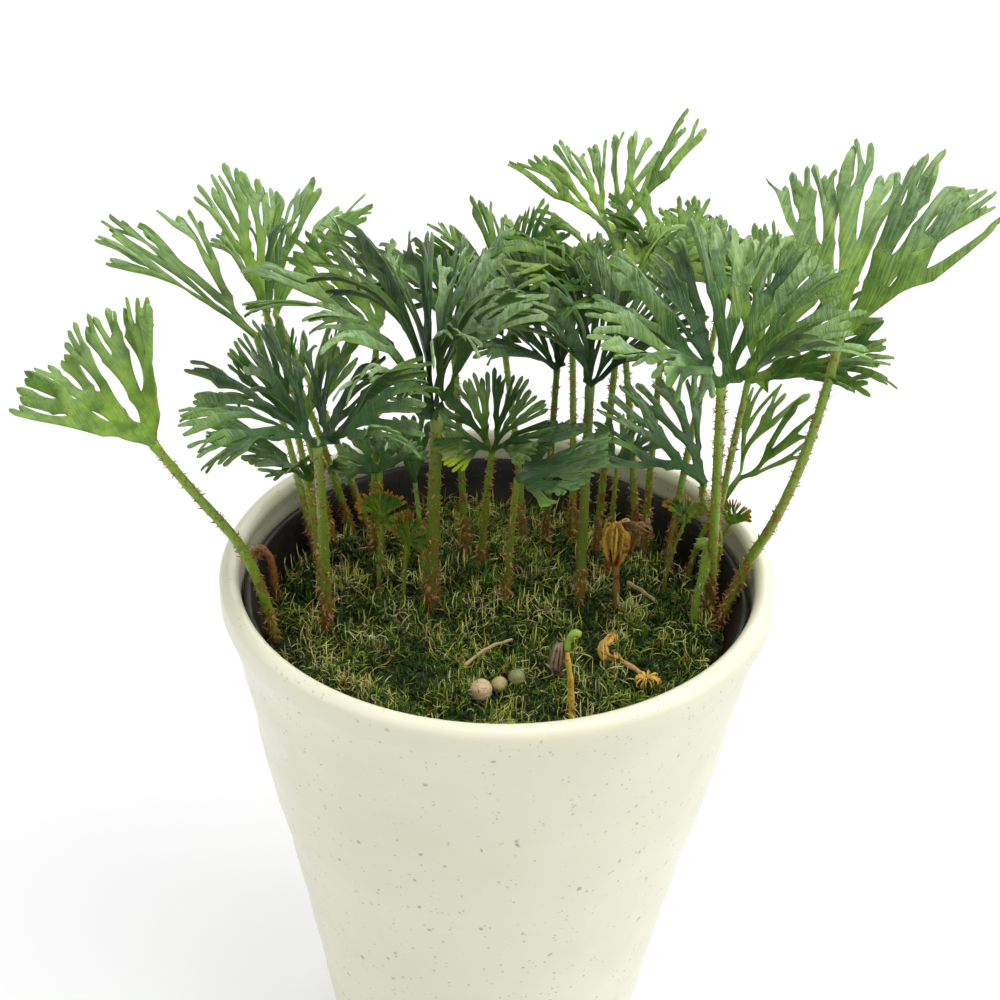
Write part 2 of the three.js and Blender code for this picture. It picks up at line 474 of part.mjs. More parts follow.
  // stem rings, from the throat back down into the moss
  const curve = stemCurve(f, ROOT_DEPTH + (grow ? 0.6 : 0));
  const length = curve.getLength();
  const count = Math.max(2, Math.min(5, Math.round(length / 14) + (f.mid.length ? 1 : 0)));
  let ringAbove = [Rm, R0, L0, Lm, L0 + 1, R0 + 1];
  let T = new THREE.Vector3().crossVectors(surf.side, startN);
  let N = startN.clone();
  const stations = [];
  const near = Math.min(0.35, (1.5 + f.stem) / length);
  stations.push(1 - near);
  for (let i = count - 1; i >= 0; i--) stations.push(((1 - near) * i) / count);
  for (const u of stations) {
    const P = curve.getPointAt(u);
    const T2 = curve.getTangentAt(u).normalize();
    const axis = new THREE.Vector3().crossVectors(T, T2);
    const s = axis.length();
    if (s > 1e-6) N.applyAxisAngle(axis.divideScalar(s), Math.atan2(s, T.dot(T2)));
    T = T2;
    N.addScaledVector(T, -T.dot(N)).normalize();
    const S = new THREE.Vector3().crossVectors(N, T);
    const r = f.stem * (1.12 - 0.22 * u) + grow;
    const ring = [];
    for (let i = 0; i < 6; i++) {
      const a = (i * Math.PI) / 3;
      ring.push(
        add(
          P.clone()
            .addScaledVector(S, r * Math.cos(a))
            .addScaledVector(N, r * Math.sin(a)),
        ),
      );
    }
    for (let i = 0; i < 6; i++) {
      const j = (i + 1) % 6;
      tri(ring[i], ring[j], ringAbove[j]);
      tri(ring[i], ringAbove[j], ringAbove[i]);
    }
    ringAbove = ring;
  }
  for (let i = 1; i < 5; i++) tri(ringAbove[0], ringAbove[i + 1], ringAbove[i]);
  return solidFrom(v, t);
}

// The stem alone, to keep other fronds' blades off it.
function stemBody(f, grow) {
  const curve = stemCurve(f, ROOT_DEPTH + 0.6);
  const n = f.mid.length ? 7 : 4;
  const throat = new THREE.IcosahedronGeometry(Math.min(3.2, 0.12 * f.reach + 0.6) + grow, 1);
  const at = V(f.apex).addScaledVector(V(f.axis), 0.1 * f.reach);
  throat.translate(at.x, at.y, at.z);
  return solidOf(throat).add(tube(
    Array.from({ length: n + 1 }, (_, i) => curve.getPointAt(i / n).toArray()),
    Array.from({ length: n + 1 }, (_, i) => f.stem * (1.16 - (0.16 * i) / n)),
    6,
    grow,
  ));
}

// A tapered tube along points, closed at both ends.
function tube(points, radii, sides, grow = 0) {
  const curve = new THREE.CatmullRomCurve3(points.map(V), false, "centripetal");
  const v = [];
  const t = [];
  const steps = radii.length - 1;
  const frames = curve.computeFrenetFrames(steps, false);
  for (let k = 0; k <= steps; k++) {
    const P = curve.getPointAt(k / steps);
    for (let i = 0; i < sides; i++) {
      const a = (i * 2 * Math.PI) / sides;
      const q = P.clone()
        .addScaledVector(frames.normals[k], (radii[k] + grow) * Math.cos(a))
        .addScaledVector(frames.binormals[k], (radii[k] + grow) * Math.sin(a));
      v.push(q.x, q.y, q.z);
    }
  }
  for (let k = 0; k < steps; k++)
    for (let i = 0; i < sides; i++) {
      const j = (i + 1) % sides;
      const a = k * sides;
      const b = a + sides;
      t.push(a + i, a + j, b + j, a + i, b + j, b + i);
    }
  for (let i = 1; i < sides - 1; i++) t.push(0, i + 1, i);
  const e = steps * sides;
  for (let i = 1; i < sides - 1; i++) t.push(e, e + i, e + i + 1);
  let s = solidFrom(v, t);
  if (s.volume() < 0) {
    for (let i = 0; i < t.length; i += 3) [t[i + 1], t[i + 2]] = [t[i + 2], t[i + 1]];
    s = solidFrom(v, t);
  }
  return s;
}

// The largest single body of a solid.
function largest(s) {
  const parts = s.decompose();
  let best = parts[0];
  for (const p of parts) if (p.volume() > best.volume()) best = p;
  return best;
}

// ---- shoots, pellets and straw ------------------------------------------
const small = [
  {
    name: "crozier_green",
    mat: MAT.crozier,
    points: [[35.6, 1, 90.6], [35.5, 1, 96], [34.4, 1, 101.1], [34.1, 1, 106.4], [35.2, 1.1, 110.0], [36.7, 1.2, 109.6], [36.5, 1.2, 108.2]],
    radii: [0.95, 0.95, 0.9, 0.9, 0.95, 1.0, 0.95, 0.75, 0.5],
    hole: true,
  },
  {
    name: "crozier_brown",
    mat: MAT.crozierBrown,
    points: [[-38.6, 6, 90.2], [-39.6, 4.5, 94.3], [-41.2, 3, 99.2], [-43.0, 2.6, 103.2], [-42.7, 2.6, 106.2], [-40.6, 2.8, 106.3], [-40.3, 2.9, 104.6]],
    radii: [0.65, 0.65, 0.65, 0.65, 0.65, 0.7, 0.7, 0.6, 0.45],
    hole: true,
  },
];

const mossAt = (x, y, up) => [x, y, mossTop(x, y) + up];
const straws = [
  { name: "dry_straw_1", points: [mossAt(23.6, 9.6, 1.2), mossAt(26.2, 6.6, 1.5), mossAt(28.9, 3.2, 1.2)] },
  { name: "dry_straw_2", points: [mossAt(-5.1, -17.8, 1.2), mossAt(-1, -13.6, 1.6), mossAt(3.2, -9.4, 1.3)] },
];
const beads = [
  { name: "fertiliser_bead_1", at: [-2.0, -24.8], r: 1.9 },
  { name: "fertiliser_bead_2", at: [1.05, -22.9], r: 1.4 },
  { name: "fertiliser_bead_3", at: [3.95, -21.5], r: 1.45 },
];

// ---- put together: each blade is cut clear of the stems and of the blades nearer the front ----
const done = []; // the enlarged solids that later pieces keep clear of
const boxesMeet = (a, b) => {
  const A = a.boundingBox();
  const B = b.boundingBox();
  for (let k = 0; k < 3; k++) if (A.min[k] > B.max[k] || B.min[k] > A.max[k]) return false;
  return true;
};
function clear(piece) {
  let s = piece.solid;
  let cut = false;
  const take = (d) => {
    if (boxesMeet(s, d) && s.intersect(d).volume() > 1e-4) {
      s = largest(s.subtract(d));
      cut = true;
    }
  };
  for (const p of pieces) if (p !== piece && p.stem) take(p.stem);
  for (const d of done) take(piece.stem && boxesMeet(d, piece.stem) ? d.subtract(piece.stem) : d);
  return cut ? largest(s.simplify(0.04)) : s;
}
const pieces = [];
for (const s of small)
  pieces.push({
    name: s.name,
    mat: s.mat,
    solid: tube(s.points, s.radii, 6),
    grown: tube(s.points, s.radii, 6, 0.35),
    socket: tube(
      [[s.points[0][0], s.points[0][1], s.points[0][2] - 0.4], ...s.points.slice(1)],
      s.radii,
      6,
      0.32,
    ),
  });
for (const s of straws)
  pieces.push({
    name: s.name,
    mat: MAT.straw,
    solid: tube(s.points, [0.35, 0.4, 0.4, 0.3], 5),
    grown: tube(s.points, [0.35, 0.4, 0.4, 0.3], 5, 0.35),
  });
for (const b of beads) {
  const make = (r) => {
    const g = new THREE.IcosahedronGeometry(r, 1);
    g.translate(b.at[0], b.at[1], mossTop(b.at[0], b.at[1]) + b.r * 0.75);
    return solidOf(g);
  };
  pieces.push({
    name: b.name,
    mat: MAT.bead,
    solid: make(b.r),
    grown: make(b.r + 0.4),
    socket: make(b.r + 0.35),
  });
}
const eye = new THREE.Vector3(0, -339, 331);
const order = FRONDS.slice().sort(
  (p, q) => V(p.apex).distanceTo(eye) - V(q.apex).distanceTo(eye),
);
for (const f of order) {
  const young = f.name.startsWith("young");
  const withered = f.name.startsWith("withered");
  pieces.push({
    name: f.name,
    mat: withered ? MAT.withered : young ? MAT.leafYoung : /back|low/.test(f.name) ? MAT.leafBright : MAT.leaf,
    solid: frondBody(f),
    stem: stemBody(f, 0.36),
    grown: frondBody(f, 0.34),
    socket: frondBody(f, 0.32),
  });
}
for (const p of pieces) {
  p.final = clear(p);
  done.push(p.grown);
}
for (const p of pieces) {
  if (p.socket && boxesMeet(moss, p.socket)) moss = moss.subtract(p.socket);
  else if (boxesMeet(moss, p.grown)) moss = moss.subtract(p.grown);
}
addPart("moss_carpet", largest(moss.simplify(0.01)), MAT.moss);
for (const p of pieces) addPart(p.name, p.final, p.mat);

export default GROUP;
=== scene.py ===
# A potted fern with forked, umbrella-like fronds, its moss carpet, black liner pot and cream cover pot.
# All lengths below are millimetres unless a name says otherwise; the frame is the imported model's.
import json
import math
import random

import bpy
import numpy as np
from mathutils import Matrix, Vector

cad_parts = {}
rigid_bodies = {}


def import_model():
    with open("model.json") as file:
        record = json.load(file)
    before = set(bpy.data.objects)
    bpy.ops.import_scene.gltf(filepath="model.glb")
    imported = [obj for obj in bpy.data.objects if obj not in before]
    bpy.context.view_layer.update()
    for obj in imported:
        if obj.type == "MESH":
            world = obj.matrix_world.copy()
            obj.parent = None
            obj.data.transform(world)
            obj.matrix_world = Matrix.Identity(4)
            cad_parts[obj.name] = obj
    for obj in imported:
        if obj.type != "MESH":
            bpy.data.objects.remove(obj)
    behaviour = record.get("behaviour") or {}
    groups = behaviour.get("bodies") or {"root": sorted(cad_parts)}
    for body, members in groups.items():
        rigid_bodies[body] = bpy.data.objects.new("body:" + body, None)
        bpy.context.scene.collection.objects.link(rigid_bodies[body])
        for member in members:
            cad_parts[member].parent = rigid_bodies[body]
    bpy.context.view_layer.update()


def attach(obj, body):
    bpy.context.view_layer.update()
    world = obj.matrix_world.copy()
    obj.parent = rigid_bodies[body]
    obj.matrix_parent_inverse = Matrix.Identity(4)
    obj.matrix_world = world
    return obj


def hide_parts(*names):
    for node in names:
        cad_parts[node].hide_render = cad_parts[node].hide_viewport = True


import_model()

MM = 0.001
RAD = math.pi / 180

# ---------------------------------------------------------------- the plant, as laid out in the CAD
FRONDS = [
    dict(name='frond_left_outer', base=(-38.04, -7.39, 95.0), mid=[(-40.94, -8.64, 105.82), (-44.34, -9.79, 114.85), (-50.93, -10.94, 124.89)], apex=(-57.04, -12.26, 134.75), axis=(-0.5954, 0.0212, 0.8032), face=(-0.2139, 0.9594, -0.1839), wrap=64.0, g0=38.2, g1=45.0, reach=26.12, bend=1.0, stem=1.0,
         lobe=1.5, pitch=1.18, web=0.64, wild=0.6, cap=1.0, full=1.1, tone=1.0, wax_and_sheen=0.6, droop=1.0, ruffle=1.0, seed=19),
    dict(name='frond_left_back', base=(-33.0, 17.0, 95.0), mid=[], apex=(-45.92, 36.84, 129.71), axis=(0.5706, 0.1071, 0.8142), face=(-0.7857, 0.3596, 0.5034), wrap=34.2, g0=87.1, g1=92.5, reach=33.9, bend=1.0, stem=0.9,
         lobe=1.35, pitch=1.4, web=0.35, wild=0.5, cap=0.6, full=1.0, tone=1.0, wax_and_sheen=2.7, droop=1.0, ruffle=0.8, seed=22),
    dict(name='frond_back_left_a', base=(-27.0, 26.0, 95.0), mid=[], apex=(-42.76, 30.0, 136.23), axis=(-0.1221, 0.2756, 0.9535), face=(-0.1364, 0.9469, -0.2912), wrap=33.2, g0=19.2, g1=73.0, reach=25.7, bend=1.0, stem=0.9,
         lobe=1.12, pitch=1.25, web=0.2, wild=0.4, cap=1.0, full=1.0, tone=0.66, wax_and_sheen=0.5, droop=1.4, ruffle=0.9, seed=33),
    dict(name='frond_back_left_b', base=(-30.0, 21.0, 95.0), mid=[], apex=(-42.91, 22.4, 144.6), axis=(0.7753, -0.4109, 0.4796), face=(-0.2771, 0.4611, 0.843), wrap=23.2, g0=81.0, g1=106.4, reach=23.1, bend=1.0, stem=0.9,
         lobe=1.35, pitch=1.3, web=0.2, wild=0.4, cap=0.7, full=1.0, tone=1.0, wax_and_sheen=0.9, droop=1.0, ruffle=0.8, seed=34),
    dict(name='frond_back_left_c', base=(-24.0, 28.0, 95.0), mid=[], apex=(-43.11, 45.21, 129.9), axis=(0.0229, 0.0902, 0.9957), face=(0.3499, 0.9322, -0.0925), wrap=32.4, g0=32.9, g1=66.4, reach=30.63, bend=1.0, stem=0.9,
         lobe=1.3, pitch=1.3, web=0.25, wild=0.4, cap=0.7, full=1.15, tone=0.95, wax_and_sheen=1.6, droop=1.4, ruffle=0.9, seed=35),
    dict(name='frond_left_crown', base=(-22.87, 19.98, 95.0), mid=[], apex=(-22.01, 9.25, 145.4), axis=(0.2604, -0.1115, 0.959), face=(-0.6404, 0.7234, 0.258), wrap=43.9, g0=70.3, g1=112.0, reach=25.48, bend=1.0, stem=0.9,
         lobe=0.95, pitch=1.15, web=0.5, wild=0.9, cap=1.0, full=1.3, tone=0.9, wax_and_sheen=1.5, droop=2.0, ruffle=1.0, seed=36),
    dict(name='frond_centre_left', base=(-11.78, 2.23, 95.0), mid=[], apex=(-10.91, -4.35, 136.25), axis=(-0.0737, 0.1021, 0.992), face=(0.016, 0.9947, -0.1012), wrap=176, g0=12, g1=86, reach=33, bend=1.5, stem=1.3,
         lobe=1.0, pitch=1.25, web=0.6, wild=0.9, cap=1.0, full=1.35, tone=0.16, wax_and_sheen=0.95, droop=2.2, ruffle=1.2, seed=41),
    dict(name='frond_left_middle', base=(-31.0, 9.0, 95.0), mid=[], apex=(-35.44, 6.25, 127.5), axis=(-0.0624, -0.4707, 0.8801), face=(-0.0345, 0.8823, 0.4695), wrap=67.8, g0=19.1, g1=44.9, reach=20.99, bend=1.0, stem=0.9,
         lobe=1.12, pitch=1.25, web=0.6, wild=0.9, cap=1.0, full=1.2, tone=0.5, wax_and_sheen=0.3, droop=1.2, ruffle=0.9, seed=42),
    dict(name='frond_left_front', base=(-29.38, -5.71, 95.0), mid=[], apex=(-29.31, -21.87, 141.26), axis=(-0.1704, -0.0516, 0.984), face=(-0.1426, 0.9894, 0.0272), wrap=138.5, g0=34.7, g1=98.7, reach=23.47, bend=1.2, stem=1.0,
         lobe=0.8, pitch=1.12, web=0.5, wild=0.9, cap=1.0, full=1.35, tone=0.25, wax_and_sheen=0.4, droop=2.0, ruffle=1.1, seed=43),
    dict(name='frond_left_low', base=(-30.68, 3.56, 95.0), mid=[], apex=(-32.94, -5.09, 125.21), axis=(0.0022, 0.0866, 0.9962), face=(-0.7091, -0.7023, 0.0626), wrap=71.3, g0=52, g1=76, reach=19.0, bend=1.0, stem=0.85,
         lobe=0.85, pitch=1.15, web=0.35, wild=0.7, cap=1.0, full=1.15, tone=0.5, wax_and_sheen=0.5, droop=0.3, ruffle=1.0, seed=44),
    dict(name='frond_left_small_a', base=(-21.0, 13.0, 95.0), mid=[], apex=(-21.28, 9.92, 117.77), axis=(0.1313, -0.3365, 0.9325), face=(-0.5106, 0.7833, 0.3545), wrap=96.5, g0=57.0, g1=77.0, reach=8.1, bend=1.0, stem=0.65,
         lobe=1.12, pitch=1.25, web=0.5, wild=0.9, cap=1.0, full=1.0, tone=0.4, wax_and_sheen=0.5, droop=0.6, ruffle=0.4, seed=45),
    dict(name='frond_left_small_b', base=(-13.2, 11.4, 95.0), mid=[], apex=(-15.43, 18.07, 110.95), axis=(0.0051, -0.1251, 0.9921), face=(-0.5817, 0.8066, 0.1047), wrap=62.3, g0=26.1, g1=36.1, reach=12.5, bend=1.0, stem=0.65,
         lobe=1.12, pitch=1.25, web=0.5, wild=0.9, cap=1.0, full=1.0, tone=0.5, wax_and_sheen=0.5, droop=0.6, ruffle=0.4, seed=46),
    dict(name='frond_back_centre_a', base=(5.0, 25.0, 95.0), mid=[], apex=(-0.23, 39.46, 128.2), axis=(-0.0, -0.1323, 0.9912), face=(0.0678, 0.9889, 0.132), wrap=125, g0=18.0, g1=72.0, reach=26.0, bend=1.0, stem=0.9,
         lobe=1.12, pitch=1.25, web=0.55, wild=0.9, cap=1.0, full=1.15, tone=0.75, wax_and_sheen=0.5, droop=1.4, ruffle=0.9, seed=47),
    dict(name='frond_centre_middle', base=(8.75, 24.97, 95.0), mid=[], apex=(9.21, 17.55, 135.32), axis=(-0.1952, -0.4884, 0.8505), face=(-0.2306, 0.8657, 0.4443), wrap=117.6, g0=13.9, g1=49.0, reach=25.25, bend=1.2, stem=0.9,
         lobe=1.05, pitch=1.25, web=0.6, wild=0.9, cap=1.0, full=1.3, tone=0.12, wax_and_sheen=0.6, droop=2.2, ruffle=1.2, seed=48),
    dict(name='frond_centre_right', base=(14.96, 4.36, 95.0), mid=[], apex=(14.65, 5.83, 138.66), axis=(0.2025, -0.5119, 0.8348), face=(-0.0577, 0.8448, 0.532), wrap=86.5, g0=14.7, g1=76.2, reach=26.17, bend=1.3, stem=1.0,
         lobe=1.1, pitch=1.25, web=0.6, wild=0.9, cap=1.0, full=1.3, tone=0.18, wax_and_sheen=0.5, droop=2.2, ruffle=1.2, seed=49),
    dict(name='frond_back_tall', base=(26.08, 25.51, 95.0), mid=[], apex=(19.05, 43.66, 149.23), axis=(-0.2611, 0.3024, 0.9167), face=(0.1731, 0.9489, -0.2637), wrap=53.5, g0=49.6, g1=59.0, reach=29.08, bend=1.0, stem=0.9,
         lobe=1.25, pitch=1.25, web=0.0, wild=0.4, cap=0.65, full=1.1, tone=0.85, wax_and_sheen=0.45, droop=0.8, ruffle=0.8, seed=50),
    dict(name='frond_right_inner', base=(18.17, 20.99, 95.0), mid=[], apex=(19.6, 13.01, 150.86), axis=(-0.0696, 0.1205, 0.9903), face=(-0.2171, 0.9671, -0.133), wrap=140, g0=35.0, g1=90, reach=22.0, bend=1.0, stem=0.9,
         lobe=1.15, pitch=1.25, web=0.5, wild=0.9, cap=1.0, full=1.25, tone=0.8, wax_and_sheen=0.5, droop=1.8, ruffle=1.1, seed=51),
    dict(name='frond_right_front', base=(38.3, 4.0, 95.0), mid=[], apex=(34.43, -17.96, 152.73), axis=(-0.12, -0.05, 0.99), face=(-0.25, 0.97, 0.0), wrap=158, g0=30, g1=60, reach=27.0, bend=1.0, stem=1.0,
         lobe=1.5, pitch=1.2, web=0.45, wild=0.7, cap=1.0, full=1.2, tone=0.45, wax_and_sheen=0.7, droop=2.0, ruffle=1.2, seed=52),
    dict(name='frond_right_crown', base=(37.67, 9.56, 95.0), mid=[], apex=(41.93, 10.27, 138.33), axis=(0.3, -0.12, 0.95), face=(0.62, 0.78, 0.0), wrap=112, g0=24, g1=62, reach=26.5, bend=1.0, stem=0.9,
         lobe=1.5, pitch=1.2, web=0.5, wild=0.7, cap=1.0, full=1.2, tone=0.85, wax_and_sheen=0.8, droop=1.0, ruffle=0.8, seed=53),
    dict(name='frond_right_outer', base=(38.62, 1.15, 95.0), mid=[(44.0, 0.6, 107.6), (46.97, -1.4, 116.39), (50.33, -2.71, 128.44), (53.21, -4.01, 145.02)], apex=(54.03, -6.08, 156.09), axis=(-0.0954, -0.0698, 0.993), face=(0.5301, 0.8407, 0.11), wrap=50.1, g0=54.5, g1=63.8, reach=33.54, bend=1.0, stem=1.0,
         lobe=1.5, pitch=1.2, web=0.82, wild=0.6, cap=1.0, full=1.1, tone=0.48, wax_and_sheen=0.6, droop=1.4, ruffle=1.0, seed=54),
    dict(name='frond_right_low_a', base=(35.9, 6.9, 95.0), mid=[(39.3, 6.3, 108.0), (34.9, 1.7, 120.4)], apex=(34.97, -0.99, 124.36), axis=(0.4837, -0.3563, 0.7994), face=(-0.6531, 0.4611, 0.6007), wrap=47.2, g0=81.4, g1=92.0, reach=22.36, bend=1.0, stem=0.8,
         lobe=1.4, pitch=1.5, web=0.1, wild=0.4, cap=0.65, full=1.0, tone=0.4, wax_and_sheen=0.9, droop=0.8, ruffle=0.5, seed=55),
    dict(name='frond_right_low_b', base=(34.6, 16.6, 95.0), mid=[], apex=(40.07, 17.0, 109.48), axis=(-0.8688, -0.2344, 0.4362), face=(0.4246, 0.1006, 0.8998), wrap=34.4, g0=87.7, g1=103.6, reach=25.24, bend=1.0, stem=0.75,
         lobe=1.4, pitch=2.0, web=0.0, wild=0.4, cap=0.5, full=1.0, tone=0.95, wax_and_sheen=0.9, droop=0.8, ruffle=0.5, seed=56),
    dict(name='frond_back_small', base=(20.0, 14.0, 95.0), mid=[], apex=(20.46, 10.83, 120.01), axis=(0.3351, -0.2357, 0.9122), face=(-0.4382, 0.8181, 0.3724), wrap=92.8, g0=30.4, g1=60.4, reach=8.8, bend=1.0, stem=0.6,
         lobe=1.12, pitch=1.25, web=0.5, wild=0.9, cap=1.0, full=1.0, tone=0.35, wax_and_sheen=0.5, droop=0.6, ruffle=0.4, seed=57),
    dict(name='frond_centre_low_a', base=(-3.23, 17.4, 95.0), mid=[], apex=(-1.61, 2.56, 127.09), axis=(0.0001, -0.5535, 0.8328), face=(-0.0042, 0.8328, 0.5535), wrap=151.3, g0=14.9, g1=66.1, reach=15.47, bend=1.0, stem=0.85,
         lobe=1.1, pitch=1.25, web=0.45, wild=0.9, cap=1.0, full=1.0, tone=0.55, wax_and_sheen=0.5, droop=1.0, ruffle=0.7, seed=58),
    dict(name='frond_centre_low_b', base=(1.61, 4.03, 95.0), mid=[], apex=(2.78, -7.51, 127.99), axis=(-0.2839, 0.0501, 0.9576), face=(0.9585, 0.0404, 0.282), wrap=65.4, g0=73.5, g1=87.5, reach=16.8, bend=1.0, stem=0.85,
         lobe=1.3, pitch=1.15, web=0.85, wild=0.4, cap=1.0, full=1.0, tone=0.35, wax_and_sheen=0.5, droop=0.8, ruffle=0.6, seed=59),
    dict(name='young_frond_left_a', base=(-21.26, 5.12, 95.0), mid=[], apex=(-20.6, 5.2, 110.2), axis=(0.0, -0.1736, 0.9848), face=(0.0, 0.9848, 0.1736), wrap=170, g0=15, g1=66, reach=5.6, bend=1.0, stem=0.55,
         lobe=0.62, pitch=1.2, web=0.65, wild=0.9, cap=1.0, full=1.0, tone=0.6, wax_and_sheen=0.5, droop=0.6, ruffle=0.4, seed=60),
    dict(name='young_frond_left_b', base=(-16.68, 3.5, 95.0), mid=[], apex=(-16.0, 1.9, 108.0), axis=(0.1595, -0.1714, 0.9722), face=(0.0, 0.9848, 0.1736), wrap=170, g0=15, g1=66, reach=5.0, bend=1.0, stem=0.5,
         lobe=0.62, pitch=1.2, web=0.65, wild=0.9, cap=1.0, full=1.0, tone=0.6, wax_and_sheen=0.5, droop=0.6, ruffle=0.4, seed=61),
    dict(name='frond_back_right_a', base=(31.0, 18.0, 95.0), mid=[], apex=(39.22, 39.55, 139.06), axis=(0.121, 0.2095, 0.9703), face=(0.143, 0.9636, -0.2259), wrap=130, g0=28.0, g1=88.0, reach=20.0, bend=1.0, stem=0.9,
         lobe=1.19, pitch=1.25, web=0.55, wild=0.9, cap=1.0, full=1.0, tone=0.8, wax_and_sheen=0.3, droop=1.2, ruffle=0.9, seed=62),
    dict(name='frond_back_right_b', base=(27.0, 22.0, 95.0), mid=[], apex=(28.1, 26.56, 146.81), axis=(0.3187, 0.0705, 0.9452), face=(0.2942, 0.9406, -0.1694), wrap=130, g0=25.0, g1=85.0, reach=20.0, bend=1.0, stem=0.9,
         lobe=1.19, pitch=1.25, web=0.55, wild=0.9, cap=1.0, full=1.0, tone=0.8, wax_and_sheen=0.3, droop=1.2, ruffle=0.9, seed=63),
    dict(name='frond_back_centre_b', base=(14.0, 28.0, 95.0), mid=[], apex=(12.14, 47.38, 133.97), axis=(0.2167, 0.3184, 0.9229), face=(0.0415, 0.9415, -0.3345), wrap=130, g0=20.0, g1=78.0, reach=20.0, bend=1.0, stem=0.9,
         lobe=1.12, pitch=1.25, web=0.55, wild=0.9, cap=1.0, full=1.0, tone=0.85, wax_and_sheen=0.3, droop=1.2, ruffle=0.9, seed=64),
    dict(name='frond_back_centre_c', base=(-6.0, 20.0, 95.0), mid=[], apex=(-9.53, 24.54, 139.81), axis=(0.0442, 0.2092, 0.9769), face=(0.0188, 0.9775, -0.2101), wrap=130, g0=28.0, g1=85.0, reach=22.0, bend=1.0, stem=0.9,
         lobe=1.12, pitch=1.25, web=0.6, wild=0.9, cap=1.0, full=1.2, tone=0.4, wax_and_sheen=0.6, droop=1.6, ruffle=1.0, seed=65),
    dict(name='young_frond_right_a', base=(30.0, 11.0, 95.0), mid=[], apex=(33.03, 10.0, 109.15), axis=(0.0, 0.1736, 0.9848), face=(0.0, 0.9848, -0.1736), wrap=150, g0=15, g1=58, reach=5.0, bend=1.0, stem=0.45,
         lobe=0.65, pitch=1.2, web=0.55, wild=0.9, cap=1.0, full=1.0, tone=0.8, wax_and_sheen=0.5, droop=0.4, ruffle=0.3, seed=66),
    dict(name='young_frond_right_b', base=(37.0, 13.0, 95.0), mid=[], apex=(41.6, 12.0, 108.2), axis=(0.0868, 0.1504, 0.9848), face=(-0.0132, 0.9886, -0.1498), wrap=150, g0=12, g1=50, reach=3.6, bend=1.0, stem=0.4,
         lobe=0.65, pitch=1.2, web=0.55, wild=0.9, cap=1.0, full=1.0, tone=0.8, wax_and_sheen=0.5, droop=0.4, ruffle=0.3, seed=67),
    dict(name='withered_frond_back', base=(21.57, 4.98, 95.0), mid=[], apex=(21.24, 6.0, 104.43), axis=(0.0, 0.1045, 0.9945), face=(0.0, 0.9945, -0.1045), wrap=140, g0=20.0, g1=60.0, reach=5.5, bend=1.0, stem=0.6,
         lobe=1.6, pitch=1.25, web=0.5, wild=0.9, cap=1.0, full=1.0, tone=0, wax_and_sheen=0.5, droop=1.2, ruffle=1.6, seed=71),
    dict(name='withered_frond_middle', base=(13.57, -29.19, 95.0), mid=[], apex=(11.18, -27.0, 107.51), axis=(-0.2432, -0.0885, 0.9659), face=(-0.9077, -0.3304, -0.2588), wrap=120, g0=40.0, g1=120.0, reach=4.5, bend=1.0, stem=0.6,
         lobe=1.5, pitch=1.25, web=0.5, wild=0.9, cap=1.0, full=1.0, tone=0, wax_and_sheen=0.5, droop=1.0, ruffle=1.4, seed=72),
    dict(name='withered_frond_front', base=(20.53, -9.56, 95.0), mid=[], apex=(24.29, -19.0, 97.33), axis=(0.4924, -0.4132, 0.766), face=(0.5868, -0.4924, -0.6428), wrap=110, g0=50.0, g1=90.0, reach=5.0, bend=1.0, stem=0.55,
         lobe=1.6, pitch=1.25, web=0.5, wild=0.9, cap=1.0, full=1.0, tone=0, wax_and_sheen=0.5, droop=0.8, ruffle=1.4, seed=73),
]

MOSS_EDGE, MOSS_RISE = 92.9, 3.0


def moss_top(x, y):
    """Height of the moss surface, the same soft mound as the CAD's."""
    x = np.asarray(x, float)
    y = np.asarray(y, float)
    r = np.hypot(x, y) / 41
    edge = np.maximum(0, 1 - r * r)
    k = np.minimum(1, edge * 3)
    return (
        MOSS_EDGE
        + MOSS_RISE * edge**0.6
        + 0.45 * np.sin(x * 0.23 + 1.1) * np.cos(y * 0.27 - 0.4) * k
        + 0.3 * np.sin(x * 0.41 + y * 0.33) * k
    )


def unit(v):
    v = np.asarray(v, float)
    return v / np.linalg.norm(v)


# ---------------------------------------------------------------- mesh helpers
def make_object(name, verts, faces, materials, face_mat=None, attrs=None, smooth=True, node=None, crease=None):
    """One mesh object from millimetre vertices and faces (lists of 3 or 4 indices, or an int array)."""
    verts = np.asarray(verts, np.float32) * MM
    me = bpy.data.meshes.new(name)
    if isinstance(faces, np.ndarray):
        k = faces.shape[1]
        me.vertices.add(len(verts))
        me.vertices.foreach_set("co", verts.ravel())
        me.loops.add(faces.size)
        me.loops.foreach_set("vertex_index", faces.ravel().astype(np.int32))
        me.polygons.add(len(faces))
        me.polygons.foreach_set("loop_start", (np.arange(len(faces)) * k).astype(np.int32))
        me.update(calc_edges=True)
    else:
        me.from_pydata(verts.tolist(), [], faces)
        me.update()
    me.validate()
    if face_mat is not None and len(face_mat) == len(me.polygons):
        me.polygons.foreach_set("material_index", np.asarray(face_mat, np.int32))
    me.polygons.foreach_set("use_smooth", np.full(len(me.polygons), bool(smooth)))
    if crease:
        me.set_sharp_from_angle(angle=crease * RAD)
    for key, values in (attrs or {}).items():
        a = me.attributes.new(key, "FLOAT", "POINT")
        a.data.foreach_set("value", np.asarray(values, np.float32))
    for m in materials:
        me.materials.append(m)
    ob = bpy.data.objects.new(name, me)
    bpy.context.scene.collection.objects.link(ob)
    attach(ob, "root")
    if node:
        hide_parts(node)
    return ob


class Buf:
    """Vertices, faces and per-vertex values gathered before the object is made."""

    def __init__(self):
        self.v, self.f, self.m = [], [], []
        self.a = {"t": [], "edge": [], "side": [], "rnd": [], "across": []}

    def add(self, verts, faces, mat=0, **attrs):
        base = len(self.v)
        self.v.extend(map(tuple, verts))
        self.f.extend(tuple(i + base for i in f) for f in faces)
        self.m.extend([mat] * len(faces))
        n = len(verts)
        for k in self.a:
            x = attrs.get(k, 0.0)
            self.a[k].extend([float(x)] * n if np.isscalar(x) else [float(q) for q in x])
        return base


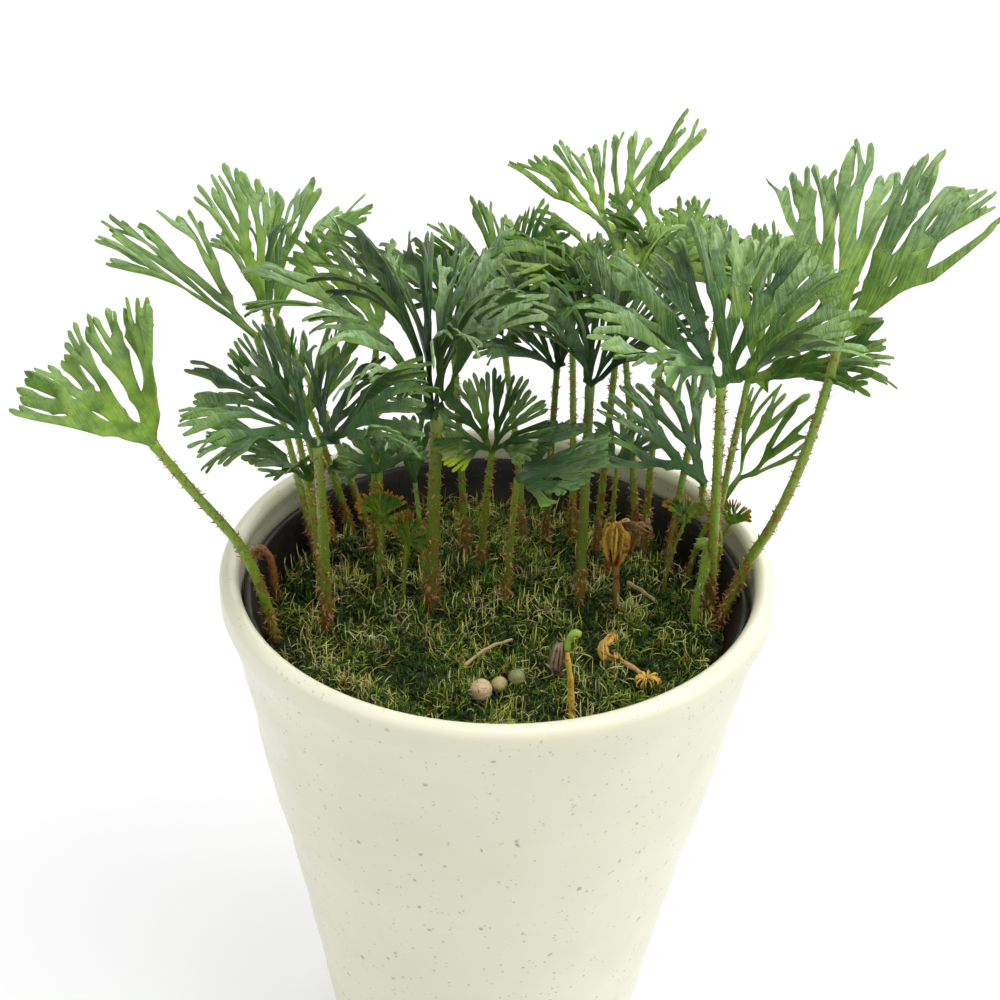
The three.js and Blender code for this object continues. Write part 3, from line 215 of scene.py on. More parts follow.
def lathe(profile, segs, wobble=None):
    """Vertices and quads of a profile of (radius, height) turned about Z; a radius under 1e-6 closes on the axis."""
    verts, faces, rows = [], [], []
    for k, (r, z) in enumerate(profile):
        if r < 1e-6:
            rows.append([len(verts)] * segs)
            verts.append((0, 0, z))
        else:
            row = []
            for i in range(segs):
                a = 2 * math.pi * i / segs
                rr, zz = (r, z) if wobble is None else wobble(r, z, a)
                row.append(len(verts))
                verts.append((rr * math.cos(a), rr * math.sin(a), zz))
            rows.append(row)
    for a, b in zip(rows, rows[1:]):
        for i in range(segs):
            j = (i + 1) % segs
            q = [a[i], a[j], b[j], b[i]]
            q = [x for n, x in enumerate(q) if x not in q[:n]]
            if len(q) > 2:
                faces.append(tuple(q))
    return verts, faces


def centripetal(points, step):
    """A smooth curve through points, sampled every step millimetres."""
    P = [np.asarray(p, float) for p in points]
    if len(P) == 2:
        n = max(2, int(np.linalg.norm(P[1] - P[0]) / step))
        return np.array([P[0] + (P[1] - P[0]) * i / n for i in range(n + 1)])
    P = [2 * P[0] - P[1]] + P + [2 * P[-1] - P[-2]]
    out = []
    for p0, p1, p2, p3 in zip(P, P[1:], P[2:], P[3:]):
        t0 = 0
        t1 = t0 + max(1e-6, np.linalg.norm(p1 - p0) ** 0.5)
        t2 = t1 + max(1e-6, np.linalg.norm(p2 - p1) ** 0.5)
        t3 = t2 + max(1e-6, np.linalg.norm(p3 - p2) ** 0.5)
        n = 14
        for i in range(n):
            t = t1 + (t2 - t1) * i / n
            a1 = (t1 - t) / (t1 - t0) * p0 + (t - t0) / (t1 - t0) * p1
            a2 = (t2 - t) / (t2 - t1) * p1 + (t - t1) / (t2 - t1) * p2
            a3 = (t3 - t) / (t3 - t2) * p2 + (t - t2) / (t3 - t2) * p3
            b1 = (t2 - t) / (t2 - t0) * a1 + (t - t0) / (t2 - t0) * a2
            b2 = (t3 - t) / (t3 - t1) * a2 + (t - t1) / (t3 - t1) * a3
            out.append((t2 - t) / (t2 - t1) * b1 + (t - t1) / (t2 - t1) * b2)
    out.append(P[-2])
    out = np.array(out)
    d = np.r_[0, np.cumsum(np.linalg.norm(np.diff(out, axis=0), axis=1))]
    n = max(2, int(d[-1] / step))
    s = np.linspace(0, d[-1], n + 1)
    return np.stack([np.interp(s, d, out[:, k]) for k in range(3)], 1)


def sweep(path, radii, sides, ref=None, flat=None, last_dir=None):
    """Rings of a round (or flattened) tube along path, closed at both ends; returns verts, faces and the frames."""
    path = np.asarray(path, float)
    n = len(path)
    T = np.gradient(path, axis=0)
    T /= np.linalg.norm(T, axis=1)[:, None]
    N = np.zeros((n, 3))
    start = n - 1 if ref is not None else 0
    N[start] = ref if ref is not None else np.cross(T[0], [0.3, 0.2, 1.0] if abs(T[0][2]) < 0.9 else [1, 0.2, 0])
    N[start] -= T[start] * (T[start] @ N[start])
    N[start] = unit(N[start])
    order = range(n - 2, -1, -1) if ref is not None else range(1, n)
    prev = start
    for i in order:
        v = np.cross(T[prev], T[i])
        s = np.linalg.norm(v)
        q = N[prev].copy()
        if s > 1e-7:
            ang = math.atan2(s, T[prev] @ T[i])
            ax = v / s
            q = q * math.cos(ang) + np.cross(ax, q) * math.sin(ang) + ax * (ax @ q) * (1 - math.cos(ang))
        q -= T[i] * (T[i] @ q)
        N[i] = unit(q)
        prev = i
    S = np.cross(N, T)
    verts, faces = [], []
    for k in range(n):
        fx = 1.0 if flat is None else flat[k]
        for i in range(sides):
            a = 2 * math.pi * i / sides
            verts.append(path[k] + S[k] * radii[k] * math.cos(a) * (2 - fx) + N[k] * radii[k] * math.sin(a) * fx)
    for k in range(n - 1):
        for i in range(sides):
            j = (i + 1) % sides
            faces.append((k * sides + i, k * sides + j, (k + 1) * sides + j, (k + 1) * sides + i))
    faces.append(tuple(range(sides - 1, -1, -1)))
    faces.append(tuple((n - 1) * sides + i for i in range(sides)))
    return verts, faces, T, N, S


# ---------------------------------------------------------------- frond geometry
THROAT = 2.4


class Surface:
    """The cone-like surface a blade lies on: (distance along a lobe, angle across, height off it) to a point."""

    def __init__(s, f):
        a = unit(f["axis"])
        e0 = np.asarray(f["face"], float)
        e0 = unit(e0 - a * (a @ e0))
        s.a, s.e0, s.e1 = a, e0, np.cross(a, e0)
        s.wrap = f["wrap"] * RAD
        s.g0, s.g1, s.R, s.q = f["g0"] * RAD, f["g1"] * RAD, f["reach"], f["bend"]
        gm = s.g0 + (s.g1 - s.g0) * 0.6**s.q
        s.half = min(s.wrap * math.sin(min(gm, math.pi / 2)), 150 * RAD)
        s.r0 = THROAT * math.sin(s.g0)
        ss = np.linspace(0, 1.3 * s.R, 80)
        g = s.gam(ss)
        gg = (g[1:] + g[:-1]) / 2
        s.ss = ss
        s.rr = np.r_[0, np.cumsum(np.sin(gg) * np.diff(ss))]
        s.hh = np.r_[0, np.cumsum(np.cos(gg) * np.diff(ss))]
        s.c = np.asarray(f["apex"], float) - e0 * s.r0

    def gam(s, x):
        return s.g0 + (s.g1 - s.g0) * np.clip(np.asarray(x, float) / s.R, 0, 1.3) ** s.q

    def normal(s, rho, phi):
        psi = np.asarray(phi) * s.wrap / s.half
        e = np.cos(psi)[:, None] * s.e0 + np.sin(psi)[:, None] * s.e1
        g = s.gam(rho)[:, None]
        return s.a * np.sin(g) - e * np.cos(g)

    def at(s, rho, phi, z):
        rho, phi, z = (np.asarray(x, float) for x in (rho, phi, z))
        psi = phi * s.wrap / s.half
        e = np.cos(psi)[:, None] * s.e0 + np.sin(psi)[:, None] * s.e1
        r = s.r0 + np.interp(rho, s.ss, s.rr)
        h = np.interp(rho, s.ss, s.hh)
        return s.c + s.a * h[:, None] + e * r[:, None] + s.normal(rho, phi) * z[:, None]


def smooth(t):
    t = min(1.0, max(0.0, t))
    return t * t * (3 - 2 * t)


def blade(buf, f, mat=0, thick=0.3, crumple=0.0):
    """The forked blade as one closed sheet: straps of much the same width split in two again and again from a common
    throat and end in short narrow lobes. With web near 1 the straps stay joined into a broad lamina with narrow slits."""
    rnd = random.Random(f["seed"])
    S = Surface(f)
    R, wt, web, wild = f["reach"], f["lobe"], f["web"], f["wild"]
    full = f["full"]
    T = max(5, round(2 * S.half * (R + THROAT) * full / (wt * f["pitch"])))
    T = min(T, 96)
    # the blade is pleated towards its rim, so it is wider than the cone it lies along
    pk = math.pi * max(1, round(2 * S.half * R / 15)) / S.half
    ps = 1.35 * math.sqrt(max(0.0, full * full - 1))
    pph = random.Random(f["seed"] * 5 + 1).uniform(0, 6.28)
    grid = np.linspace(-S.half * 1.02, S.half * 1.02, 400)
    arc = np.r_[0, np.cumsum(np.sqrt(1 + (ps * np.cos(pk * (grid[1:] + grid[:-1]) / 2 + pph)) ** 2) * np.diff(grid))]
    arc = (arc / arc[-1] * 2 - 1) * S.half * 1.02

    def pleat(r):
        return smooth((r - 0.10 * R) / (0.5 * R))

    def mm(r):
        return (r + THROAT) * (1 + (full - 1) * pleat(r))

    L2 = math.log2(T)
    K = 2
    rho, phi, zz, half, t_, ed, rn, st = [], [], [], [], [], [], [], []
    top, rims = [], []
    ruf_ph, ruf_k = rnd.uniform(0, 6.28), rnd.uniform(4.5, 7.5)
    ruf2_ph, ruf2_k = rnd.uniform(0, 6.28), rnd.uniform(9, 13)
    levels = [0, 1, 2, 3, 4, 5, 6.5]
    open_at = [1, 0.84, 0.60, 0.35, 0.17, 0.07, 0.03]
    web_at = [1, 0.89, 0.76, 0.56, 0.34, 0.15, 0.06]
    strap_at = [1, 2.2, 3.1, 3.7, 4.1, 4.5, 5.0]

    pull = 0.70 * min(1.0, S.half / 1.9)

    def vert(r, p, z, edge, rv):
        rr = r / R
        p *= 1 - pull * math.exp(-r / 3.3) * smooth(r / 1.0)
        if full > 1:
            k = pleat(r)
            p = p * (1 - k) + float(np.interp(p, arc, grid)) * k
            z += k * (ps / pk) * (r + THROAT) * math.sin(pk * p + pph) * (0.85 + 0.25 * math.sin(1.9 * p + ruf_ph))
        z += f["ruffle"] * (math.sin(ruf_k * p + ruf_ph) * 0.8 + 0.35 * math.sin(ruf2_k * p + ruf2_ph)) * rr**1.6
        if crumple:
            z += crumple * math.sin(r * 1.9 + 3 * p + ruf_ph) * rr
        rho.append(r)
        phi.append(p)
        zz.append(z)
        half.append(thick * (0.5 if not edge else 0.22) + max(0.0, 0.36 - 0.36 * r / 3.0))
        t_.append(rr)
        ed.append(edge)
        rn.append(rv)
        st.append(p * (r + THROAT))
        return len(rho) - 1

    def reach_of(n):
        m = math.log2(n)
        return float(np.interp(m, levels, open_at)) * (1 - web) + float(np.interp(m, levels, web_at)) * web

    rounds = (0.42, 0.76, 0.95)

    def grow(n, fa, fb, r0, EL0, ER0, newL, newR, zc, sl, tw, row0, rv):
        mid = (fa + fb) / 2
        tipR = R * (1 - 0.10 * abs(mid / S.half) ** 2)
        inner = r0 < 0.3 * R
        if n == 1:
            r1 = tipR * (1 + rnd.uniform(-0.08, 0.05))
            r1 = max(r1, r0 + 1.3)
            w = wt * rnd.uniform(0.86, 1.12)
        else:
            r1 = tipR * (reach_of(n) + rnd.uniform(-0.05, 0.05) * (0.4 if inner else 1))
            r1 = max(r1, r0 + 0.045 * R + 0.25)
            w = None
        room = (fb - fa) * mm(r1)
        length = r1 - r0
        if n > 1:
            strap = min(room * 0.90, wt * (1 + f["cap"] * (float(np.interp(math.log2(n), levels, strap_at)) - 1))) * rnd.uniform(0.88, 1.06)
            w = strap * (1 - web) + room * 0.98 * web
            if n == T:
                w = min(room * 0.95, wt * (1 + 4 * f["cap"])) if f["cap"] < 1 else room * 0.95
        w = min(w, room * (1.05 if n > 1 else 0.98))
        ins = (room - w) / 2 / mm(r1)
        jig = rnd.uniform(-0.4, 0.4) * max(0.0, ins) + rnd.gauss(0, 0.015) * (0 if inner else 1)
        EL1, ER1 = fa + ins + jig, fb - ins + jig
        kz = rnd.gauss(0, 0.014 * wild) - (0.0030 * f["droop"] if r0 > 0.35 * R else 0)
        if n == 1:
            kz -= 0.016 * f["droop"] * rnd.uniform(0.2, 1.8)
        sl += rnd.gauss(0, 0.10 * wild if n < T else 0.0) * (1 - 0.45 * web)
        tw1 = rnd.gauss(0, 0.34) * (1 - 0.35 * web) * (1.0 if n <= 8 else 0.5)
        rv = min(1, max(0, rv + rnd.gauss(0, 0.15)))
        if n == 1:
            tr = 1 - min(0.6, 0.75 * w / length)
            m = max(2, min(4, int(tr * length / 1.3)))
            ts = [tr * ((i + 1) / m) ** 1.15 for i in range(m)] + [tr + (1 - tr) * q for q in rounds] + [1.0]
        else:
            m = max(2, min(5, int(length / 1.25) + 1))
            ts = [((i + 1) / m) ** 1.2 for i in range(m)]
            tr = 2
        prev = row0
        k0 = (0.30 if n > 2 else 0.15 if n == 2 else 0.08) * (1 - web) + (0.20 if 1 < n <= 5 else 0.08) * web
        k0 *= (1 if n < T else 0) * min(1.0, length / 2.6)
        dl, dr = k0 * rnd.uniform(0.7, 1.25), k0 * rnd.uniform(0.7, 1.25)
        hs = min(0.34, 0.12 * w + 0.06)
        for t in ts:
            r = r0 + length * t
            gL = 1 - (1 - t) ** 2.2 if newL else smooth(t)
            gR = 1 - (1 - t) ** 2.2 if newR else smooth(t)
            EL = EL0 + (EL1 - EL0) * gL
            ER = ER0 + (ER1 - ER0) * gR
            wv = ER - EL
            if t < 1:
                q = math.sin(math.pi * t**0.75) ** 0.8
                EL += dl * q * wv / 2
                ER -= dr * q * wv / 2
            if t > tr:
                q = (t - tr) / (1 - tr)
                k = max(0.10, (1 - q**1.5 * 0.985) ** 0.72)
                c, h = (EL + ER) / 2, (ER - EL) / 2 * k
                EL, ER = c - h, c + h
            d = r - r0
            z = zc + sl * d + kz * d * d
            tww = tw + (tw1 - tw) * smooth(t)
            row = []
            flute = 0.10 * min(1, r / 4) / max(1, n / 2)
            for j in range(n * K + 1):
                u = j / (n * K)
                p = EL + (ER - EL) * u
                off = (u - 0.5) * (ER - EL) * mm(r)
                b = j % K == 0
                free = 0.0
                if j == 0:
                    free = smooth(t * 2) if newL else 1.0
                elif j == n * K:
                    free = smooth(t * 2) if newR else 1.0
                body = smooth(min(t, 1 - t if n > 1 else 1) * 3) if n > 1 else smooth(t * 3)
                prof = hs * (0.5 - (2 * u - 1) ** 2) * (0.35 + 0.65 * body) * min(1, r / 3)
                prof += -flute if b else flute * 0.7
                if t > tr:
                    prof *= 0.7
                row.append(vert(r, p, z + tww * off + prof, 1.0 if (b and free > 0.5) else 0.0, rv))
            for j in range(n * K):
                top.append((prev[j], row[j], row[j + 1], prev[j + 1]))
            rims.append((prev[0], row[0], 0))
            rims.append((prev[-1], row[-1], 1))
            prev = row
        if n == 1:
            for j in range(K):
                rims.append((prev[j], prev[j + 1], 2))
            return
        n1 = n // 2 + (rnd.choice((0, 1)) if n % 2 else 0)
        if n >= 6 and rnd.random() < 0.5:
            n1 += rnd.choice((-1, 1))
        if n == 4 and rnd.random() < 0.25:
            n1 = rnd.choice((1, 3))
        n1 = max(1, min(n - 1, n1))
        u = n1 / n
        pj = EL1 + (ER1 - EL1) * u
        W = (ER1 - EL1) * mm(r1)
        fc = fa + (fb - fa) * u
        d = length
        z1 = zc + sl * d + kz * d * d
        s1 = (sl + 2 * kz * d) * 0.8
        J = n1 * K
        grow(n1, fa, fc, r1, EL1, pj, False, True, z1 + tw1 * (u / 2 - 0.5) * W, s1, tw1, prev[: J + 1], rv)
        grow(n - n1, fc, fb, r1, pj, ER1, True, False, z1 + tw1 * ((1 + u) / 2 - 0.5) * W, s1, tw1, prev[J:], rv)

    # throat row
    tw0 = min(0.8, f["stem"] * 0.78)
    p0 = tw0 / THROAT
    row = []
    for j in range(T * K + 1):
        u = j / (T * K)
        row.append(vert(0.0, -p0 + 2 * p0 * u, 0.0, 0.0, 0.5))
    grow(T, -S.half, S.half, 0.0, -p0, p0, False, False, 0.0, 0.0, 0.0, row, rnd.uniform(0.3, 0.7))
    rho_, phi_, zz_, half_ = map(np.array, (rho, phi, zz, half))
    up = S.at(rho_, phi_, zz_ + half_)
    dn = S.at(rho_, phi_, zz_ - half_)
    n = len(rho)
    faces = list(top)
    faces += [(d + n, c + n, b + n, a + n) for a, b, c, d in top]
    for a, b, k in rims:
        if k == 0:
            faces.append((a, a + n, b + n, b))
        elif k == 1:
            faces.append((a, b, b + n, a + n))
        else:
            faces.append((a, a + n, b + n, b))
    faces += [(row[j + 1], row[j + 1] + n, row[j] + n, row[j]) for j in range(T * K)]
    buf.add(
        np.vstack([up, dn]),
        faces,
        mat,
        t=t_ + t_,
        edge=ed + ed,
        side=[0.0] * n + [1.0] * n,
        rnd=rn + rn,
        across=st + st,
    )
    return S, T


def stem_path(f, depth=4.5, step=1.3):
    base, apex = np.array(f["base"]), np.array(f["apex"])
    first = np.array(f["mid"][0]) if f["mid"] else apex
    top = float(moss_top(base[0], base[1]))
    k = depth + base[2] - top
    pts = [base + np.array([(base[0] - first[0]) * 0.01 * k, (base[1] - first[1]) * 0.01 * k, -k])]
    if f["mid"]:
        pts += [np.array(m) for m in f["mid"]]
    else:
        m = base * 0.56 + apex * 0.44
        m[2] = (base[2] + apex[2]) / 2
        pts.append(m)
    pts.append(apex)
    return centripetal(pts, step)


def flakes(buf, path, radii, N, S, T, count, rnd, mat, size=(0.5, 1.1), spread=1.0, up=0.6):
    """Ragged little scales on a stem: each a closed sliver standing off the surface."""
    n = len(path)
    for _ in range(count):
        u = rnd.random() ** spread
        x = u * (n - 1.001)
        i = int(x)
        w = x - i
        P = path[i] * (1 - w) + path[i + 1] * w
        r = radii[i] * (1 - w) + radii[i + 1] * w
        a = rnd.uniform(0, 2 * math.pi)
        out = S[i] * math.cos(a) + N[i] * math.sin(a)
        side = -S[i] * math.sin(a) + N[i] * math.cos(a)
        along = T[i] * (1 if rnd.random() < 0.6 else -1)
        L = rnd.uniform(*size)
        wd = L * rnd.uniform(0.3, 0.6)
        lift = rnd.uniform(0.05, up)
        d = unit(along * rnd.uniform(0.5, 1.0) + out * lift + side * rnd.uniform(-0.7, 0.7))
        sd = unit(side + along * rnd.uniform(-0.5, 0.5))
        sd = unit(sd - d * (sd @ d))
        nrm = unit(np.cross(d, sd))
        if nrm @ out < 0:
            nrm = -nrm
        curl = rnd.uniform(0.1, 0.9)
        b0 = P + out * r * 0.92
        v = []
        for t, k in ((0.0, 1.0), (1.0, 0.14)):
            c = b0 + d * L * t * (1 - 0.25 * curl * t) + nrm * (curl * L * t * t * 0.7)
            h = wd * k / 2
            v += [c - sd * h, c + nrm * 0.05, c + sd * h, c - nrm * 0.03]
        fcs = [(0, 1, 2, 3)]
        for j in range(4):
            m = (j + 1) % 4
            fcs.append((m, j, 4 + j, 4 + m))
        fcs.append((7, 6, 5, 4))
        buf.add(v, fcs, mat, t=u, edge=0.0, side=0.0, rnd=rnd.random())


def frond(f, leaf, stalk, scale, scaly=1.0, crumple=0.0, tone=None):
    rnd = random.Random(f["seed"] * 7 + 3)
    buf = Buf()
    S, T = blade(buf, f, 0, crumple=crumple)
    path = stem_path(f)
    n = len(path)
    # the last stretch bends into the blade's own direction
    g0 = S.g0
    out_dir = S.a * math.cos(g0) + S.e0 * math.sin(g0)
    extra = [path[-1] + out_dir * q for q in (0.5, 1.1, 1.8)]
    path = np.vstack([path[:-1], extra[:0] or path[-1:], extra])
    n = len(path)
    u = np.linspace(0, 1, n)
    radii = (0.88 if f["stem"] > 0.95 else 0.70) * f["stem"] * (1.12 - 0.24 * u) * (1 + 0.05 * np.array([math.sin(i * 1.7 + f["seed"]) for i in range(n)]))
    radii[-4:] *= np.array([0.98, 0.86, 0.66, 0.34])
    flat = np.ones(n)
    flat[-5:] = [0.95, 0.85, 0.72, 0.62, 0.55]
    nrm = S.a * math.sin(g0) - S.e0 * math.cos(g0)
    v, fc, Tt, N, Sd = sweep(path, radii, 10, ref=nrm, flat=flat)
    tt = np.repeat(u, 10)
    buf.add(v, fc, 1, t=tt, edge=0.0, side=0.0, rnd=rnd.random())
    length = np.linalg.norm(np.diff(path, axis=0), axis=1).sum()
    m = n - 4
    flakes(buf, path[:m], radii[:m], N[:m], Sd[:m], Tt[:m], int(length * 5.4 * scaly), rnd, 2, size=(0.4, 1.05), spread=1.1)
    low = max(3, int(m * 0.28))
    flakes(buf, path[:low], radii[:low], N[:low], Sd[:low], Tt[:low], int(length * 2.6 * scaly), rnd, 2, size=(0.5, 1.3), spread=0.9)
    n_v = len(buf.v)
    tone = f["tone"] if tone is None else tone
    attrs = {k: v for k, v in buf.a.items()}
    attrs["tone"] = [tone] * n_v
    attrs["wax_and_sheen"] = [f["wax_and_sheen"]] * n_v
    return make_object(
        f["name"] + "_look", buf.v, buf.f, [leaf, stalk, scale], buf.m, attrs, True, f["name"], crease=55
    )


# ---------------------------------------------------------------- materials
def srgb(r, g, b):
    def c(x):
        x /= 255
        return x / 12.92 if x <= 0.04045 else ((x + 0.055) / 1.055) ** 2.4

    return (c(r), c(g), c(b), 1.0)


class Nodes:
    """Short calls for building a node material."""

    def __init__(s, name):
        s.m = bpy.data.materials.new(name)
        s.m.use_nodes = True
        s.t = s.m.node_tree
        s.t.nodes.clear()
        s.out = s.n("ShaderNodeOutputMaterial")

    def n(s, kind, **kw):
        x = s.t.nodes.new(kind)
        for k, v in kw.items():
            setattr(x, k, v)
        return x

    def link(s, a, b):
        s.t.links.new(a, b)

    def put(s, sock, val):
        if hasattr(val, "is_linked") or isinstance(val, bpy.types.NodeSocket):
            s.link(val, sock)
        else:
            sock.default_value = val

    def attr(s, name):
        x = s.n("ShaderNodeAttribute")
        x.attribute_name = name
        return x.outputs["Fac"]

    def pos(s):
        return s.n("ShaderNodeTexCoord").outputs["Object"]

    def noise(s, scale, detail=4.0, rough=0.55, vec=None, distort=0.0):
        x = s.n("ShaderNodeTexNoise")
        x.inputs["Scale"].default_value = scale
        x.inputs["Detail"].default_value = detail
        x.inputs["Roughness"].default_value = rough
        x.inputs["Distortion"].default_value = distort
        s.link(vec if vec is not None else s.pos(), x.inputs["Vector"])
        return x.outputs["Fac"]

    def warp(s, vec, scale, amount):
        """The place pushed about a little by a noise, so that spots aren't round."""
        x = s.n("ShaderNodeTexNoise")
        x.inputs["Scale"].default_value = scale
        x.inputs["Detail"].default_value = 2.0
        s.link(vec, x.inputs["Vector"])
        c = s.n("ShaderNodeVectorMath", operation="SUBTRACT")
        s.link(x.outputs["Color"], c.inputs[0])
        c.inputs[1].default_value = (0.5, 0.5, 0.5)
        m = s.n("ShaderNodeVectorMath", operation="MULTIPLY")
        s.link(c.outputs[0], m.inputs[0])
        m.inputs[1].default_value = (amount * 2, amount * 2, amount * 2)
        a = s.n("ShaderNodeVectorMath", operation="ADD")
        s.link(vec, a.inputs[0])
        s.link(m.outputs[0], a.inputs[1])
        return a.outputs[0]

    def voronoi(s, scale, feature="F1", vec=None):
        x = s.n("ShaderNodeTexVoronoi", feature=feature)
        x.inputs["Scale"].default_value = scale
        s.link(vec if vec is not None else s.pos(), x.inputs["Vector"])
        return x.outputs["Distance"]

    def math(s, op, a, b=0.0, c=None, clamp=False):
        x = s.n("ShaderNodeMath", operation=op, use_clamp=clamp)
        s.put(x.inputs[0], a)
        s.put(x.inputs[1], b)
        if c is not None:
            s.put(x.inputs[2], c)
        return x.outputs[0]

    def ramp(s, fac, stops, interp="LINEAR"):
        x = s.n("ShaderNodeValToRGB")
        x.color_ramp.interpolation = interp
        e = x.color_ramp.elements
        e[0].position, e[0].color = stops[0]
        e[1].position, e[1].color = stops[-1]
        for p, c in stops[1:-1]:
            k = e.new(p)
            k.color = c
        s.put(x.inputs["Fac"], fac)
        return x.outputs["Color"]

    def span(s, fac, lo, hi, a=0.0, b=1.0):
        x = s.n("ShaderNodeMapRange", interpolation_type="SMOOTHSTEP")
        s.put(x.inputs["Value"], fac)
        x.inputs["From Min"].default_value = lo
        x.inputs["From Max"].default_value = hi
        x.inputs["To Min"].default_value = a
        x.inputs["To Max"].default_value = b
        return x.outputs["Result"]

    def mix(s, fac, a, b, mode="MIX"):
        x = s.n("ShaderNodeMix", data_type="RGBA", blend_type=mode)
        s.put(x.inputs[0], fac)
        s.put(x.inputs[6], a)
        s.put(x.inputs[7], b)
        return x.outputs[2]

    def bump(s, height, strength, distance):
        x = s.n("ShaderNodeBump")
        x.inputs["Strength"].default_value = strength
        x.inputs["Distance"].default_value = distance
        s.link(height, x.inputs["Height"])
        return x.outputs["Normal"]

    def principled(s, color, rough, normal=None, **kw):
        x = s.n("ShaderNodeBsdfPrincipled")
        s.put(x.inputs["Base Color"], color)
        s.put(x.inputs["Roughness"], rough)
        for k, v in kw.items():
            x.inputs[k.replace("_", " ")].default_value = v
        if normal is not None:
            s.link(normal, x.inputs["Normal"])
        return x

    def done(s, shader):
        s.link(shader, s.out.inputs["Surface"])
        return s.m


def leaf_material(name, dark, mid, bright, bloom_and_sheen, under, thin=0.24, rough=0.40, brown_tips=0.0, glow=None, fresh=None, gold=None):
    """A leathery blade: greyish waxy bloom on top that doubles as a painted sheen from the light above, paler below
    with painted shade on the undersides of dark-toned fronds, painted highlights along the free lobe rims, streaked
    along the lobes, with a little light through it.
    """
    k = Nodes(name)
    tone, t, side, rv, edge, ac, wax_and_sheen = (k.attr(q) for q in ("tone", "t", "side", "rnd", "edge", "across", "wax_and_sheen"))
    n0 = k.noise(75, 2)
    n1 = k.noise(170, 3)
    n2 = k.noise(900, 3)
    xyz = k.n("ShaderNodeCombineXYZ")
    k.link(ac, xyz.inputs[0])
    k.link(k.math("MULTIPLY", t, 1.6), xyz.inputs[1])
    k.link(k.math("MULTIPLY", rv, 9.0), xyz.inputs[2])
    streak = k.noise(2.6, 3, 0.6, xyz.outputs[0])
    w = k.math("ADD", tone, k.math("MULTIPLY", k.math("SUBTRACT", rv, 0.5), 0.62))
    w = k.math("ADD", w, k.math("MULTIPLY", k.math("SUBTRACT", n1, 0.5), 0.75))
    w = k.math("ADD", w, k.math("MULTIPLY", k.math("SUBTRACT", streak, 0.5), 0.95), clamp=True)
    col = k.ramp(w, [(0.0, dark), (0.5, mid), (1.0, bright)])
    if fresh:
        f = k.math("MULTIPLY", k.span(n0, 0.56, 0.66), k.span(t, 0.35, 0.8))
        f = k.math("MULTIPLY", f, k.span(tone, 0.1, 0.5, 0.35, 0.9))
        col = k.mix(f, col, fresh)
    col = k.mix(k.math("MULTIPLY", k.span(k.noise(360, 3, 0.5), 0.34, 0.70, 0.0, 0.62), k.span(tone, 0.2, 0.7, 0.3, 1.0)), col, mid)
    # waxy bloom on the upper faces, stronger towards the tips: partly the real bloom, partly a painted sheen where the
    # lobes catch the light from above
    b = k.math("MULTIPLY", k.span(t, 0.30, 0.95, 0.05, 1.0), k.span(n2, 0.30, 0.62, 0.40, 1.0))
    b = k.math("MULTIPLY", b, k.math("MULTIPLY", wax_and_sheen, 1.35))
    b = k.math("MULTIPLY", b, k.span(rv, 0.15, 0.85, 0.12, 1.0))
    b = k.math("MULTIPLY", b, k.span(streak, 0.38, 0.62, 0.5, 1.0))
    top = k.mix(b, col, bloom_and_sheen)
    # undersides are paler below, but on the dark-toned fronds they are pulled towards the dark green: painted shade for
    # the shadow under their umbrellas
    low = k.mix(k.math("MULTIPLY", n1, 0.6), k.mix(k.span(tone, 0.2, 0.8), k.mix(0.55, under, dark), under), col)
    c = k.mix(side, top, low)
    # free lobe edges lightened towards the bright green, more towards the tips: partly their paler margins, partly a
    # painted highlight along the rims
    c = k.mix(k.math("MULTIPLY", edge, k.span(t, 0.2, 1.0, 0.15, 0.5)), c, k.mix(0.65, c, bright))
    spots = k.span(k.noise(1500, 2, 0.6), 0.66, 0.74, 0.0, 0.55)
    c = k.mix(k.math("MULTIPLY", spots, k.span(t, 0.0, 0.5, 1.0, 0.12)), c, srgb(70, 52, 26))
    if gold:
        # a few ageing lobes low on one side have turned yellow
        xyz2 = k.n("ShaderNodeSeparateXYZ")
        k.link(k.pos(), xyz2.inputs[0])
        m = k.math("MULTIPLY", k.span(xyz2.outputs["Z"], gold[0], gold[0] - 0.0025), k.span(xyz2.outputs["X"], gold[1], gold[1] - 0.003))
        m = k.math("MULTIPLY", m, k.span(t, 0.50, 0.86))
        c = k.mix(k.math("MULTIPLY", m, k.span(n1, 0.34, 0.5, 0.55, 1.0)), c, srgb(176, 196, 38))
    if brown_tips:
        c = k.mix(k.math("MULTIPLY", k.span(t, 0.90, 0.99, 0, brown_tips), k.span(n1, 0.36, 0.5)), c, k.mix(n2, srgb(236, 176, 72), srgb(196, 104, 52)))
    nrm = k.bump(k.math("ADD", n2, k.math("MULTIPLY", streak, 2.5)), 0.5, 0.0003)
    p = k.principled(c, k.span(n2, 0.2, 0.8, rough - 0.06, rough + 0.12), nrm, IOR=1.5)
    p.inputs["Specular IOR Level"].default_value = 0.38
    tr = k.n("ShaderNodeBsdfTranslucent")
    glow = glow or (srgb(72, 120, 36), srgb(165, 200, 60))
    tc = k.mix(0.6, c, k.mix(tone, glow[0], glow[1]), "MIX")
    k.link(tc, tr.inputs["Color"])
    mx = k.n("ShaderNodeMixShader")
    k.link(k.span(tone, 0.1, 0.9, thin * 0.30, thin * 1.5), mx.inputs[0])
    k.link(p.outputs[0], mx.inputs[1])
    k.link(tr.outputs[0], mx.inputs[2])
    return k.done(mx.outputs[0])


